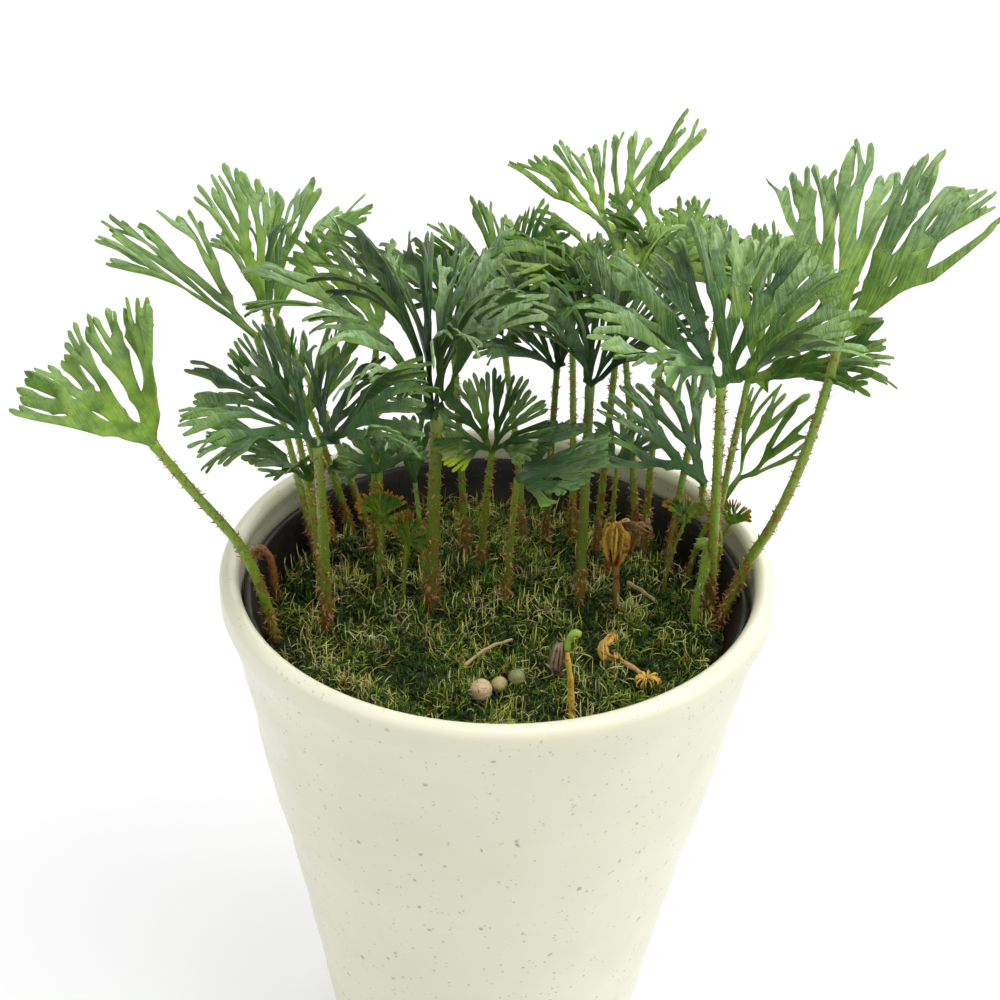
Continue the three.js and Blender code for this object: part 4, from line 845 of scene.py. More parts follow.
def stalk_material(name, lo, hi, spot, rough=0.45, shade=None):
    k = Nodes(name)
    t, rv, tone = k.attr("t"), k.attr("rnd"), k.attr("tone")
    n0, n1, n2 = k.noise(260, 2), k.noise(560, 3), k.noise(1600, 3)
    c = k.mix(k.span(t, 0.04, 0.26), lo, hi)
    c = k.mix(k.math("MULTIPLY", tone, 0.35), c, srgb(144, 174, 54))
    if shade:
        c = k.mix(k.span(tone, 0.1, 0.55, 0.75, 0.0), c, shade)
    c = k.mix(k.math("MULTIPLY", n1, 0.3), c, srgb(92, 110, 40))
    blotch = k.math("ADD", k.math("MULTIPLY", n1, 0.65), k.math("MULTIPLY", n0, 0.35))
    blotch = k.math("ADD", blotch, k.span(t, 0.02, 0.6, 0.07, -0.05))
    c = k.mix(k.span(blotch, 0.53, 0.60, 0.0, 0.85), c, spot)
    c = k.mix(k.math("MULTIPLY", k.span(n2, 0.55, 0.64), 0.7), c, spot)
    p = k.principled(c, rough, k.bump(n2, 0.4, 0.0002))
    return k.done(p.outputs[0])


def scale_material(name, a, b):
    k = Nodes(name)
    c = k.mix(k.attr("rnd"), a, b)
    c = k.mix(k.math("MULTIPLY", k.noise(1200, 2), 0.4), c, srgb(150, 100, 60))
    p = k.principled(c, 0.7)
    tr = k.n("ShaderNodeBsdfTranslucent")
    k.link(c, tr.inputs["Color"])
    mx = k.n("ShaderNodeMixShader")
    mx.inputs[0].default_value = 0.25
    k.link(p.outputs[0], mx.inputs[1])
    k.link(tr.outputs[0], mx.inputs[2])
    return k.done(mx.outputs[0])


LEAF = leaf_material("frond_leaf", srgb(13, 42, 9), srgb(42, 88, 20), srgb(152, 188, 68), srgb(158, 188, 138), srgb(62, 100, 28), rough=0.36, fresh=srgb(112, 156, 44))
LEAF_TURNING = leaf_material("frond_turning_leaf", srgb(13, 42, 9), srgb(42, 88, 20), srgb(152, 188, 68), srgb(158, 188, 138), srgb(62, 100, 28), rough=0.36, fresh=srgb(112, 156, 44), gold=(0.1335, 0.003))
YOUNG = leaf_material("frond_young_leaf", srgb(34, 78, 30), srgb(70, 120, 34), srgb(168, 188, 48), srgb(90, 130, 50), srgb(110, 140, 40), thin=0.3, brown_tips=0.8)
STALK = stalk_material("frond_stalk", srgb(136, 112, 44), srgb(116, 158, 38), srgb(130, 90, 40), 0.38, srgb(90, 106, 38))
SCALE = scale_material("frond_scales", srgb(230, 182, 112), srgb(140, 88, 40))
SCALE_PALE = scale_material("crozier_pale_scales", srgb(212, 212, 156), srgb(156, 170, 100))
STALK_PALE = stalk_material("crozier_stalk", srgb(82, 114, 26), srgb(140, 174, 62), srgb(128, 134, 50))
STALK_RED = stalk_material("crozier_brown_stalk", srgb(120, 66, 38), srgb(168, 88, 54), srgb(90, 44, 30))
WITHER_GOLD = stalk_material("withered_gold", srgb(226, 150, 36), srgb(240, 186, 80), srgb(122, 62, 24), 0.6)
WITHER_TAN = stalk_material("withered_tan", srgb(206, 134, 84), srgb(216, 156, 104), srgb(140, 76, 44), 0.6)
WITHER_DARK = stalk_material("withered_dark", srgb(110, 62, 40), srgb(150, 92, 56), srgb(66, 36, 28), 0.6)
WITHER_PURPLE = stalk_material("withered_purple", srgb(112, 74, 70), srgb(152, 112, 104), srgb(72, 42, 42), 0.6)
SCALE_RED = scale_material("crozier_scales", srgb(206, 124, 90), srgb(150, 78, 54))


def stoneware():
    k = Nodes("cover_pot_glaze")
    p = k.pos()
    n_big = k.noise(18, 3, 0.5, p)
    n_mid = k.noise(120, 4, 0.6, p)
    base = k.mix(k.span(n_big, 0.3, 0.7), srgb(218, 216, 190), srgb(228, 227, 206))
    base = k.mix(k.math("MULTIPLY", n_mid, 0.35), base, srgb(210, 208, 180))
    # fine dark and bluish specks of iron in the glaze
    v = k.voronoi(330, "F1", k.warp(p, 900, 0.0006))
    pick = k.noise(240, 1, 0.5, p)
    sp = k.math("MULTIPLY", k.span(v, 0.08, 0.19, 1.0, 0.0), k.span(pick, 0.55, 0.62))
    v2 = k.voronoi(800, "F1", k.warp(p, 1500, 0.0003))
    pick2 = k.noise(420, 1, 0.5, p)
    sp2 = k.math("MULTIPLY", k.span(v2, 0.12, 0.26, 1.0, 0.0), k.span(pick2, 0.52, 0.60))
    base = k.mix(k.math("MULTIPLY", sp, 0.55), base, srgb(96, 104, 104))
    base = k.mix(k.math("MULTIPLY", sp2, 0.45), base, srgb(120, 118, 100))
    # the lip: a slightly yellower band where the glaze is thin
    z = k.n("ShaderNodeSeparateXYZ")
    k.link(p, z.inputs[0])
    lip = k.span(z.outputs["Z"], 0.1015, 0.1045)
    base = k.mix(k.math("MULTIPLY", lip, 0.35), base, srgb(226, 220, 190))
    # turning marks
    sc = k.n("ShaderNodeMapping")
    sc.inputs["Scale"].default_value = (6, 6, 330)
    k.link(p, sc.inputs["Vector"])
    rings = k.noise(1.0, 3, 0.5, sc.outputs[0])
    h = k.math("ADD", k.math("MULTIPLY", rings, 1.0), k.math("MULTIPLY", n_mid, 0.35))
    sh = k.principled(base, k.span(n_mid, 0.3, 0.7, 0.34, 0.46), k.bump(h, 0.35, 0.0006))
    sh.inputs["Coat Weight"].default_value = 0.25
    sh.inputs["Coat Roughness"].default_value = 0.22
    return k.done(sh.outputs[0])


def black_plastic():
    k = Nodes("liner_plastic")
    p = k.pos()
    n1, n2 = k.noise(90, 4, 0.6, p), k.noise(1400, 3, 0.5, p)
    c = k.mix(k.span(n1, 0.45, 0.75, 0.0, 0.55), srgb(24, 23, 22), srgb(58, 54, 48))
    c = k.mix(k.span(n2, 0.62, 0.72, 0.0, 0.35), c, srgb(110, 96, 74))
    z = k.n("ShaderNodeSeparateXYZ")
    k.link(p, z.inputs[0])
    dust = k.math("MULTIPLY", k.span(z.outputs["Z"], 0.0965, 0.0925), k.span(n1, 0.35, 0.6))
    c = k.mix(k.math("MULTIPLY", dust, 0.6), c, srgb(86, 66, 42))
    sh = k.principled(c, k.span(n1, 0.3, 0.7, 0.38, 0.55), k.bump(n2, 0.25, 0.0003))
    return k.done(sh.outputs[0])


def bark():
    k = Nodes("bark_medium")
    p = k.pos()
    v = k.voronoi(260, "F1", p)
    c = k.ramp(v, [(0.0, srgb(96, 62, 38)), (0.5, srgb(62, 40, 26)), (1.0, srgb(28, 18, 12))])
    sh = k.principled(c, 0.9, k.bump(v, 0.8, 0.002))
    return k.done(sh.outputs[0])


def moss_ground():
    k = Nodes("moss_bed")
    p = k.pos()
    n1, n2, n3 = k.noise(60, 4, 0.6, p), k.noise(420, 4, 0.6, p), k.noise(1800, 3, 0.6, p)
    c = k.ramp(n2, [(0.25, srgb(26, 26, 12)), (0.5, srgb(52, 56, 20)), (0.8, srgb(86, 84, 32))])
    c = k.mix(k.span(n1, 0.5, 0.7, 0, 0.6), c, srgb(84, 60, 34))
    sh = k.principled(c, 0.9, k.bump(k.math("ADD", n2, n3), 0.9, 0.0012))
    return k.done(sh.outputs[0])


def moss_strand():
    k = Nodes("moss_strands")
    rv, t = k.attr("rnd"), k.attr("t")
    c = k.ramp(
        rv,
        [
            (0.0, srgb(26, 54, 18)),
            (0.20, srgb(62, 106, 32)),
            (0.38, srgb(152, 184, 52)),
            (0.54, srgb(244, 242, 112)),
            (0.84, srgb(255, 252, 204)),
            (1.0, srgb(196, 128, 76)),
        ],
    )
    c = k.mix(k.span(t, 0.0, 0.62, 0.9, 0.0), c, srgb(18, 26, 8))
    c = k.mix(k.math("MULTIPLY", k.noise(120, 3), 0.3), c, srgb(70, 100, 30))
    p = k.principled(c, 0.6)
    # pale strand tips glow a little: painted light that brightens them in the shade under the fronds
    k.link(c, p.inputs["Emission Color"])
    k.link(k.math("MULTIPLY", k.span(rv, 0.34, 0.7), k.span(t, 0.25, 0.9, 0.0, 0.17)), p.inputs["Emission Strength"])
    tr = k.n("ShaderNodeBsdfTranslucent")
    k.link(c, tr.inputs["Color"])
    mx = k.n("ShaderNodeMixShader")
    mx.inputs[0].default_value = 0.3
    k.link(p.outputs[0], mx.inputs[1])
    k.link(tr.outputs[0], mx.inputs[2])
    return k.done(mx.outputs[0])


# ---------------------------------------------------------------- cover pot
POT = [(0, 28.1), (1.2, 28.55), (6, 29.2), (20, 31.5), (30, 33.4), (40, 35.3), (53, 37.9), (60, 39.6), (65, 40.8), (70, 41.8), (75, 42.5), (80, 43.2), (85, 44.2), (90, 45.2), (94, 46.1), (98, 47.3), (102, 48.7), (106, 49.6)]
BORE = [(0, 28.1), (6, 29.25), (53, 38.1), (100, 48.5), (106, 49.6)]


def pot_outer(z):
    return float(np.interp(z, [p[0] for p in POT], [p[1] for p in POT]))


def pot_bore(z):
    return float(np.interp(z, [p[0] for p in BORE], [p[1] for p in BORE])) - 3.5


def build_cover_pot():
    prof = [(0, 0), (14, 0), (25.5, 0), (26.9, 0.05), (27.6, 0.3), (28.05, 0.8), (28.3, 1.6)]
    for z in np.linspace(3, 101.2, 54):
        ridge = 0.05 * math.sin(z * 0.95) + 0.08 * math.sin(z * 0.43 + 1.3) + 0.03 * math.sin(z * 2.1 + 0.4)
        ridge *= min(1, (z - 2) / 5) * min(1, (102 - z) / 4)
        prof.append((pot_outer(z) + ridge, z))
    rc, zc, q = 46.75, 104.25, 1.75
    for a in np.linspace(-8, 185, 16):
        prof.append((rc + q * math.cos(a * RAD), zc + q * math.sin(a * RAD)))
    for z in np.linspace(102.8, 12, 18):
        prof.append((pot_bore(z) + 0.03 * math.sin(z * 0.9), z))
    prof += [(25.9, 9.6), (24.6, 7.6), (22.0, 6.4), (18, 6), (0, 6)]

    def wobble(r, z, a):
        k = (z / 106) ** 2
        return r + 0.22 * k * math.sin(2 * a + 0.7) + 0.10 * k * math.sin(3 * a + 2.0), z + (
            0.14 * math.sin(2 * a + 1.9) if z > 101 else 0.0
        )

    v, f = lathe(prof, 144, wobble)
    return make_object("cover_pot_look", v, f, [stoneware()], node="cover_pot")


# ---------------------------------------------------------------- liner pot
def liner_r(z):
    return 26.5 + (44.1 - 26.5) * (z - 30.3) / (101 - 30.3)


def build_liner():
    prof = [(0, 30.3), (12, 30.3), (25.2, 30.3), (26.2, 30.7), (26.55, 31.5)]
    for z in np.linspace(34, 96.6, 10):
        prof.append((liner_r(z), z))
    prof += [(liner_r(97.4), 97.4), (liner_r(97.8) + 0.35, 97.8), (liner_r(98.3) + 0.42, 98.3), (44.4, 100.4), (44.25, 100.85), (44.0, 101.0), (43.5, 101.0), (43.15, 100.8), (43.05, 100.3)]
    for z in (99.4, 98.9, 98.4, 97.9, 97.4):
        # shallow steps moulded into the inside of the rim
        prof.append((liner_r(z) - 1.0 - (0.05 if int(z * 2) % 2 else 0.0), z))
    for z in np.linspace(96.5, 32, 8):
        prof.append((liner_r(z) - 1.0, z))
    prof += [(25.0, 31.5), (0, 31.5)]
    v, f = lathe(prof, 112)
    ob = make_object("nursery_pot_look", v, f, [black_plastic()], node="nursery_pot")
    # drain holes through the base
    cuts = []
    import bmesh

    for i in range(6):
        a = i * 2 * math.pi / 6 + 0.2
        bm = bmesh.new()
        bmesh.ops.create_cone(bm, cap_ends=True, segments=28, radius1=3 * MM, radius2=3 * MM, depth=8 * MM)
        bmesh.ops.translate(bm, vec=(17.5 * math.cos(a) * MM, 17.5 * math.sin(a) * MM, 30.9 * MM), verts=bm.verts)
        me = bpy.data.meshes.new("cut")
        bm.to_mesh(me)
        bm.free()
        c = bpy.data.objects.new("cut", me)
        bpy.context.scene.collection.objects.link(c)
        mod = ob.modifiers.new("hole", "BOOLEAN")
        mod.operation, mod.solver, mod.object = "DIFFERENCE", "EXACT", c
        cuts.append(c)
    dg = bpy.context.evaluated_depsgraph_get()
    me = bpy.data.meshes.new_from_object(ob.evaluated_get(dg))
    ob.modifiers.clear()
    ob.data = me
    for c in cuts:
        bpy.data.objects.remove(c)
    return ob


# ---------------------------------------------------------------- moss
def build_moss():
    rnd = np.random.default_rng(11)
    # the bed: a closed lumpy disc
    n, rings = 120, 34
    v, f = [], []
    rr = np.linspace(0, 1, rings + 1)[1:] ** 0.8
    ph = rnd.uniform(0, 6.28, 12)

    def lump(x, y):
        return (
            0.35 * math.sin(x * 0.9 + ph[0]) * math.sin(y * 1.0 + ph[1])
            + 0.25 * math.sin(x * 2.1 + y * 0.7 + ph[2])
            + 0.22 * math.sin(y * 2.4 - x * 0.9 + ph[3])
        )

    mp = rnd.uniform(0, 6.28, 6)

    def mound(x, y):
        """Soft cushions a couple of millimetres high with hollows between them."""
        q = np.clip((40.5 - np.hypot(x, y)) / 5, 0, 1)
        s = np.sin(0.42 * x + mp[0]) * np.sin(0.47 * y + mp[1]) + 0.7 * np.sin(0.30 * (x + y) + mp[2]) * np.cos(0.55 * (x - y) + mp[3])
        return q * (0.95 * s - 0.1)

    v.append((0, 0, float(moss_top(0, 0) + mound(0.0, 0.0)) - 0.7))
    for q in rr:
        for i in range(n):
            a = 2 * math.pi * i / n
            r = 40.7 * q
            x, y = r * math.cos(a), r * math.sin(a)
            z = float(moss_top(x, y) + mound(x, y)) - 0.75 + lump(x, y) * (1 if q < 0.97 else 0.4)
            if q > 0.985:
                z -= 1.0
            v.append((x, y, z))
    for i in range(n):
        f.append((0, 1 + i, 1 + (i + 1) % n))
    for k in range(rings - 1):
        for i in range(n):
            a, b = 1 + k * n + i, 1 + k * n + (i + 1) % n
            f.append((a, a + n, b + n, b))
    base = len(v)
    for i in range(n):
        a = 2 * math.pi * i / n
        v.append((38.2 * math.cos(a), 38.2 * math.sin(a), 85.0))
    v.append((0, 0, 85.0))
    last = 1 + (rings - 1) * n
    for i in range(n):
        j = (i + 1) % n
        f.append((last + i, base + i, base + j, last + j))
        f.append((base + n, base + j, base + i))
    bed = make_object("moss_bed_look", v, f, [moss_ground()], node="moss_carpet")
    # strands: short leafy ones as a pile, and longer curled filaments in tufts over it
    mat = moss_strand()
    made = [bed]
    stems = np.array([fr["base"][:2] for fr in FRONDS])

    def strands(name, x, y, L, rad, az, el, hue, segs, bend_a, bend_e, lift, droop):
        R = np.hypot(x, y)
        keep = (R < 40.3) & (np.min(np.hypot(x[:, None] - stems[:, 0], y[:, None] - stems[:, 1]), axis=1) > 0.8)
        x, y, L, rad, az, el, hue = (q[keep] for q in (x, y, L, rad, az, el, hue))
        m = len(x)
        ca = rnd.normal(0, bend_a, m)
        ce = rnd.normal(droop, bend_e, m)
        P = np.stack([x, y, moss_top(x, y) + lift + mound(x, y)], 1)
        pts = [P]
        for s in range(segs):
            d = np.stack([np.cos(az) * np.cos(el), np.sin(az) * np.cos(el), np.sin(el)], 1)
            P = P + d * (L / segs)[:, None]
            rr_ = np.hypot(P[:, 0], P[:, 1])
            over = rr_ > 40.6
            P[over, :2] *= (40.6 / rr_[over])[:, None]
            floor = moss_top(P[:, 0], P[:, 1]) + mound(P[:, 0], P[:, 1]) - 0.7
            low = P[:, 2] < floor
            P[low, 2] = floor[low] + 0.3 * rnd.random(low.sum())
            pts.append(P)
            az = az + ca + rnd.normal(0, bend_a * 0.4, m)
            el = np.clip(el + ce + rnd.normal(0, bend_e * 0.4, m), -0.9, 1.5)
        pts = np.stack(pts, 1)
        T = np.gradient(pts, axis=1)
        T /= np.linalg.norm(T, axis=2)[:, :, None] + 1e-9
        ref = np.where(np.abs(T[:, :, 2:3]) > 0.9, np.array([1.0, 0, 0]), np.array([0, 0, 1.0]))
        S = np.cross(T, ref)
        S /= np.linalg.norm(S, axis=2)[:, :, None] + 1e-9
        B = np.cross(S, T)
        taper = np.interp(np.linspace(0, 1, segs + 1), [0, 0.2, 0.6, 0.85, 1], [0.9, 1.0, 0.9, 0.7, 0.25])
        ring = [pts + (S * math.cos(a) + B * math.sin(a)) * (rad[:, None] * taper)[:, :, None] for a in (0, 2 * math.pi / 3, 4 * math.pi / 3)]
        V = np.stack(ring, 2)[:, :-1].reshape(m, segs * 3, 3)
        V = np.concatenate([V, pts[:, -1:]], 1)
        idx = np.arange(m * (segs * 3 + 1)).reshape(m, segs * 3 + 1)
        end = idx[:, -1]
        idx = idx[:, :-1].reshape(m, segs, 3)
        F = []
        for s in range(segs - 1):
            for i in range(3):
                j = (i + 1) % 3
                a, b, c, d = idx[:, s, i], idx[:, s, j], idx[:, s + 1, j], idx[:, s + 1, i]
                F.append(np.stack([a, c, b], 1))
                F.append(np.stack([a, d, c], 1))
        F.append(np.stack([idx[:, 0, 0], idx[:, 0, 1], idx[:, 0, 2]], 1))
        for i in range(3):
            F.append(np.stack([idx[:, -1, i], end, idx[:, -1, (i + 1) % 3]], 1))
        F = np.concatenate(F)
        tt = np.broadcast_to(np.r_[np.repeat(np.arange(segs) / segs, 3), 1.0][None, :], (m, segs * 3 + 1)).ravel()
        hv = np.broadcast_to(hue[:, None], (m, segs * 3 + 1)).ravel()
        made.append(make_object(name, V.reshape(-1, 3), F, [mat], attrs={"rnd": hv, "t": tt}))

    def paleness(x, y):
        back = np.clip((y + 2) / 22, 0, 1) * np.clip(1 - np.abs(x - 2) / 24, 0, 1)
        return 0.10 * np.sin(x * 0.31 + 0.5) * np.cos(y * 0.27 + 1.0) + 0.16 * back

    for part in range(2):
        m = 8200
        R, A = 40.2 * np.sqrt(rnd.random(m)), rnd.uniform(0, 2 * math.pi, m)
        x, y = R * np.cos(A), R * np.sin(A)
        hue = np.clip(rnd.beta(1.8, 4.6, m) * 0.62 + paleness(x, y), 0, 0.7)
        strands("moss_pile_%d" % (part + 1), x, y, rnd.uniform(1.4, 3.2, m), rnd.uniform(0.085, 0.15, m), rnd.uniform(0, 6.28, m), rnd.uniform(0.0, 1.2, m), hue, 2, 0.6, 0.4, -0.75, -0.12)
    # tufts: many strands splaying from one crown, some tufts dried pale
    for part in range(3):
        tufts = 170
        n_per = rnd.integers(8, 22, tufts)
        R, A = 39.0 * np.sqrt(rnd.random(tufts)), rnd.uniform(0, 2 * math.pi, tufts)
        th = np.where(rnd.random(tufts) < 0.42, rnd.uniform(0.6, 0.98, tufts), rnd.uniform(0.22, 0.5, tufts))
        x = np.repeat(R * np.cos(A), n_per)
        y = np.repeat(R * np.sin(A), n_per)
        base = np.repeat(th, n_per)
        m = len(x)
        az = rnd.uniform(0, 6.28, m)
        x = x + rnd.normal(0, 0.8, m)
        y = y + rnd.normal(0, 0.8, m)
        hue = np.clip(base * rnd.uniform(0.45, 1.2, m) + 0.6 * paleness(x, y), 0.08, 0.94)
        hue[rnd.random(m) < 0.04] = 1.0
        strands("moss_tufts_%d" % (part + 1), x, y, rnd.uniform(2.2, 5.6, m), rnd.uniform(0.068, 0.112, m), az, rnd.uniform(0.1, 1.2, m), hue, 5, 0.6, 0.4, -0.3, -0.2)
    return made


# ---------------------------------------------------------------- small things
def crozier(name, pts, radii_ab, stalk, scale, dens, seed):
    rnd = random.Random(seed)
    path = centripetal(pts, 0.45)
    n = len(path)
    u = np.linspace(0, 1, n)
    radii = np.interp(u, [0, 0.55, 0.8, 0.93, 1.0], [radii_ab[0], radii_ab[0] * 0.95, radii_ab[1], radii_ab[1] * 0.8, radii_ab[1] * 0.35])
    radii = radii * (1 + 0.05 * np.sin(np.arange(n) * 1.1))
    buf = Buf()
    v, f, T, N, S = sweep(path, radii, 12)
    buf.add(v, f, 0, t=np.repeat(u, 12), rnd=0.5)
    length = np.linalg.norm(np.diff(path, axis=0), axis=1).sum()
    flakes(buf, path, radii, N, S, T, int(length * dens), rnd, 1, size=(0.45, 1.0), spread=0.9, up=0.5)
    a = dict(buf.a)
    a["tone"] = [0.4] * len(buf.v)
    return make_object(name + "_look", buf.v, buf.f, [stalk, scale], buf.m, a, True, name)


def ribbon(buf, pts, wide, thin_, mat, rnd, twist=0.0, tone=0.5):
    """A dried strap: a flattened tube through pts, narrowing to its end, turning as it goes."""
    path = centripetal(pts, 0.35)
    n = len(path)
    u = np.linspace(0, 1, n)
    radii = wide / 2 * np.interp(u, [0, 0.15, 0.6, 0.9, 1], [0.55, 1.0, 0.9, 0.7, 0.3]) * (1 + 0.12 * np.sin(np.arange(n) * 1.3 + rnd.uniform(0, 6)))
    T = np.gradient(path, axis=0)
    T /= np.linalg.norm(T, axis=1)[:, None]
    a0 = rnd.uniform(0, 3.14)
    v, f = [], []
    N = unit(np.cross(T[0], [0.31, 0.52, 0.8]))
    for k in range(n):
        N = unit(N - T[k] * (T[k] @ N))
        S = np.cross(T[k], N)
        a = a0 + twist * u[k]
        X, Y = S * math.cos(a) + N * math.sin(a), N * math.cos(a) - S * math.sin(a)
        w, h = radii[k], min(thin_ / 2, radii[k] * 0.7)
        for j in range(8):
            b = 2 * math.pi * j / 8
            v.append(path[k] + X * w * math.cos(b) + Y * (h * math.sin(b) + 0.35 * w * math.cos(b) ** 2))
    for k in range(n - 1):
        for j in range(8):
            m = (j + 1) % 8
            f.append((k * 8 + j, k * 8 + m, k * 8 + 8 + m, k * 8 + 8 + j))
    f.append(tuple(range(7, -1, -1)))
    f.append(tuple((n - 1) * 8 + j for j in range(8)))
    buf.add(v, f, mat, t=np.repeat(u, 8), rnd=rnd.random())


def stick(buf, pts, r0, r1, mat, rnd):
    path = centripetal(pts, 0.5)
    n = len(path)
    radii = np.linspace(r0, r1, n) * (1 + 0.12 * np.sin(np.arange(n) * 0.9 + rnd.uniform(0, 6)))
    radii[-1] *= 0.5
    v, f, T, N, S = sweep(path, radii, 9)
    buf.add(v, f, mat, t=np.repeat(np.linspace(0.3, 1, n), 9), rnd=0.5)
    return path, radii, T, N, S


def withered_finish(name, buf, mats):
    a = dict(buf.a)
    a["tone"] = [0.4] * len(buf.v)
    return make_object(name + "_look", buf.v, buf.f, mats, buf.m, a, True, name)


def withered_back():
    """A dried leaf closed like a bud on a dark stalk, with a dark curled flap to one side."""
    rnd, buf = random.Random(71), Buf()
    p = stick(buf, [(21.57, 4.98, 91.0), (21.5, 5.1, 96), (21.3, 5.3, 100), (21.0, 5.5, 103.4)], 0.75, 0.6, 1, rnd)
    flakes(buf, *p, 22, rnd, 2, size=(0.5, 1.1))
    c = np.array([20.9, 5.5, 102.6])
    for i in range(11):
        a = 2 * math.pi * i / 11 + rnd.uniform(-0.2, 0.2)
        o = np.array([math.cos(a), math.sin(a) * 0.8, 0])
        h, q = rnd.uniform(7.6, 9.8), rnd.uniform(1.7, 2.4)
        pts = [c + o * 0.3, c + o * q * 0.7 + (0, 0, h * 0.35), c + o * q + (0, 0, h * 0.72), c + o * q * 0.75 + (0, 0, h), c + o * q * 0.15 + (0, 0, h * 0.93), c - o * 0.2 + (0, 0, h * rnd.uniform(0.55, 0.72))]
        ribbon(buf, pts, rnd.uniform(1.0, 1.5), 0.22, 0, rnd, rnd.uniform(-0.8, 0.8))
    for i in range(6):
        s = c + np.array([0.8, 0.1 * i - 0.2, 8.8])
        L = rnd.uniform(3.6, 6.4)
        pts = [s, s + (L * 0.35, rnd.uniform(-0.6, 0.6), rnd.uniform(-0.6, 0.6)), s + (L * 0.8, rnd.uniform(-1, 1), rnd.uniform(-1.4, 0.0)), s + (L, rnd.uniform(-1, 1), rnd.uniform(-2.8, -1.2)), s + (L * 0.85, 0, rnd.uniform(-3.2, -2.2))]
        ribbon(buf, pts, rnd.uniform(0.9, 1.4), 0.2, 3, rnd, rnd.uniform(-2, 2))
    for i in range(3):
        s = c + np.array([1.2, 0.4, 0.6])
        ribbon(buf, [s, s + (1.4, 0.2, 3), s + (2.2, 0.1 * i, 6), s + (2.6 + 0.3 * i, 0.3, 8)], 1.5, 0.2, 3, rnd, 0.6)
    return withered_finish("withered_frond_back", buf, [WITHER_GOLD, WITHER_DARK, SCALE_RED, WITHER_DARK])


def withered_middle():
    """A tan stalk with a purple-brown shrunken leaf at its side and a small green hook on top."""
    rnd, buf = random.Random(72), Buf()
    p = stick(buf, [(13.57, -29.19, 90.6), (13.37, -28.9, 95.0), (13.08, -28.5, 98.6), (12.78, -28.4, 102.5), (12.1, -28.4, 106.4), (11.9, -28.4, 108.4)], 0.62, 0.5, 0, rnd)
    flakes(buf, *p, 26, rnd, 2, size=(0.5, 1.3))
    stick(buf, [(11.95, -28.4, 108.0), (12.1, -28.4, 109.8), (12.7, -28.4, 111.3), (13.5, -28.4, 111.6), (13.9, -28.4, 110.9)], 0.5, 0.7, 3, rnd)
    top = np.array([10.6, -28.6, 109.0])
    for i in range(9):
        a = 2 * math.pi * i / 9
        o = np.array([math.cos(a) * 0.75, math.sin(a) * 0.75, 0])
        low = np.array([11.9, -28.4, 103.2])
        pts = [low, low + (-1.1, 0, 0.3) + o * 0.3, np.array([10.2, -28.5, 105.4]) + o, np.array([10.4, -28.5, 107.6]) + o * 1.05, top + o * 0.5 + (0, 0, rnd.uniform(-0.4, 0.5)), top - o * 0.3 + (0, 0, -0.9)]
        ribbon(buf, pts, rnd.uniform(0.8, 1.2), 0.2, 1, rnd, rnd.uniform(-1.5, 1.5))
    return withered_finish("withered_frond_middle", buf, [WITHER_GOLD, WITHER_PURPLE, SCALE, STALK_PALE])


def withered_front():
    """A curled tan leaf lying on the moss, its stalk running to a crumpled golden rosette."""
    rnd, buf = random.Random(73), Buf()
    stick(buf, [(20.53, -9.56, 90.8), (20.7, -10.3, 95.0), (21.2, -12.4, 95.9), (21.95, -14.07, 96.0), (23.14, -15.23, 96.0), (24.5, -16.7, 96.1), (25.6, -18.6, 96.2)], 0.6, 0.42, 3, rnd)
    for i in range(7):
        j = lambda q: np.array([rnd.uniform(-q, q), rnd.uniform(-q, q), rnd.uniform(-q * 0.5, q)])
        pts = [(22.4, -14.4, 95.9), (20.6, -14.5, 96.5) + j(0.3), (19.3, -14.3, 97.3) + j(0.6), (18.8, -13.3, 98.2) + j(0.7), (19.6, -11.6, 98.8) + j(0.7), (20.7, -10.8, 98.8) + j(0.5), (20.9, -11.6, 98.2) + j(0.3)]
        ribbon(buf, pts, rnd.uniform(0.9, 1.4), 0.2, 3 if i % 3 else 0, rnd, rnd.uniform(-2, 2))
    c = np.array([26.1, -19.6, 95.9])
    for i in range(20):
        a = 2 * math.pi * i / 20 + rnd.uniform(-0.15, 0.15)
        o = np.array([math.cos(a), math.sin(a), 0])
        q, h = rnd.uniform(1.5, 2.5), rnd.uniform(0.4, 1.3)
        pts = [c + o * 0.2, c + o * q * 0.55 + (0, 0, h), c + o * q + (0, 0, h * 0.7), c + o * q * 1.02 + (0, 0, -0.1), c + o * q * 0.8 + (0, 0, -0.4)]
        ribbon(buf, pts, rnd.uniform(0.4, 0.75), 0.2, 0, rnd, rnd.uniform(-1.2, 1.2))
    return withered_finish("withered_frond_front", buf, [WITHER_GOLD, WITHER_DARK, SCALE_RED, WITHER_TAN])


def pellet(name, at, r, color, color2, seed):
    rnd = random.Random(seed)
    import bmesh

    bm = bmesh.new()
    bmesh.ops.create_icosphere(bm, subdivisions=4, radius=r)
    ph = [rnd.uniform(0, 6.28) for _ in range(4)]
    for w in bm.verts:
        d = w.co.normalized()
        k = 1 + 0.04 * math.sin(3 * d.x + ph[0]) * math.sin(3.3 * d.y + ph[1]) + 0.02 * math.sin(7 * d.z + ph[2])
        w.co = d * r * k
    v = [tuple(w.co) for w in bm.verts]
    f = [tuple(q.index for q in p.verts) for p in bm.faces]
    bm.free()
    z = float(moss_top(*at)) + r * 0.75
    v = [(a + at[0], b + at[1], c + z) for a, b, c in v]
    k = Nodes(name + "_coat")
    p = k.pos()
    n1, n2 = k.noise(500, 3, 0.6, p), k.noise(1700, 3, 0.6, p)
    c = k.mix(n1, color, color2)
    c = k.mix(k.span(n2, 0.58, 0.7, 0, 0.7), c, srgb(120, 92, 52))
    sh = k.principled(c, 0.42, k.bump(k.math("ADD", n1, n2), 0.5, 0.0003))
    return make_object(name + "_look", v, f, [k.done(sh.outputs[0])], node=name)


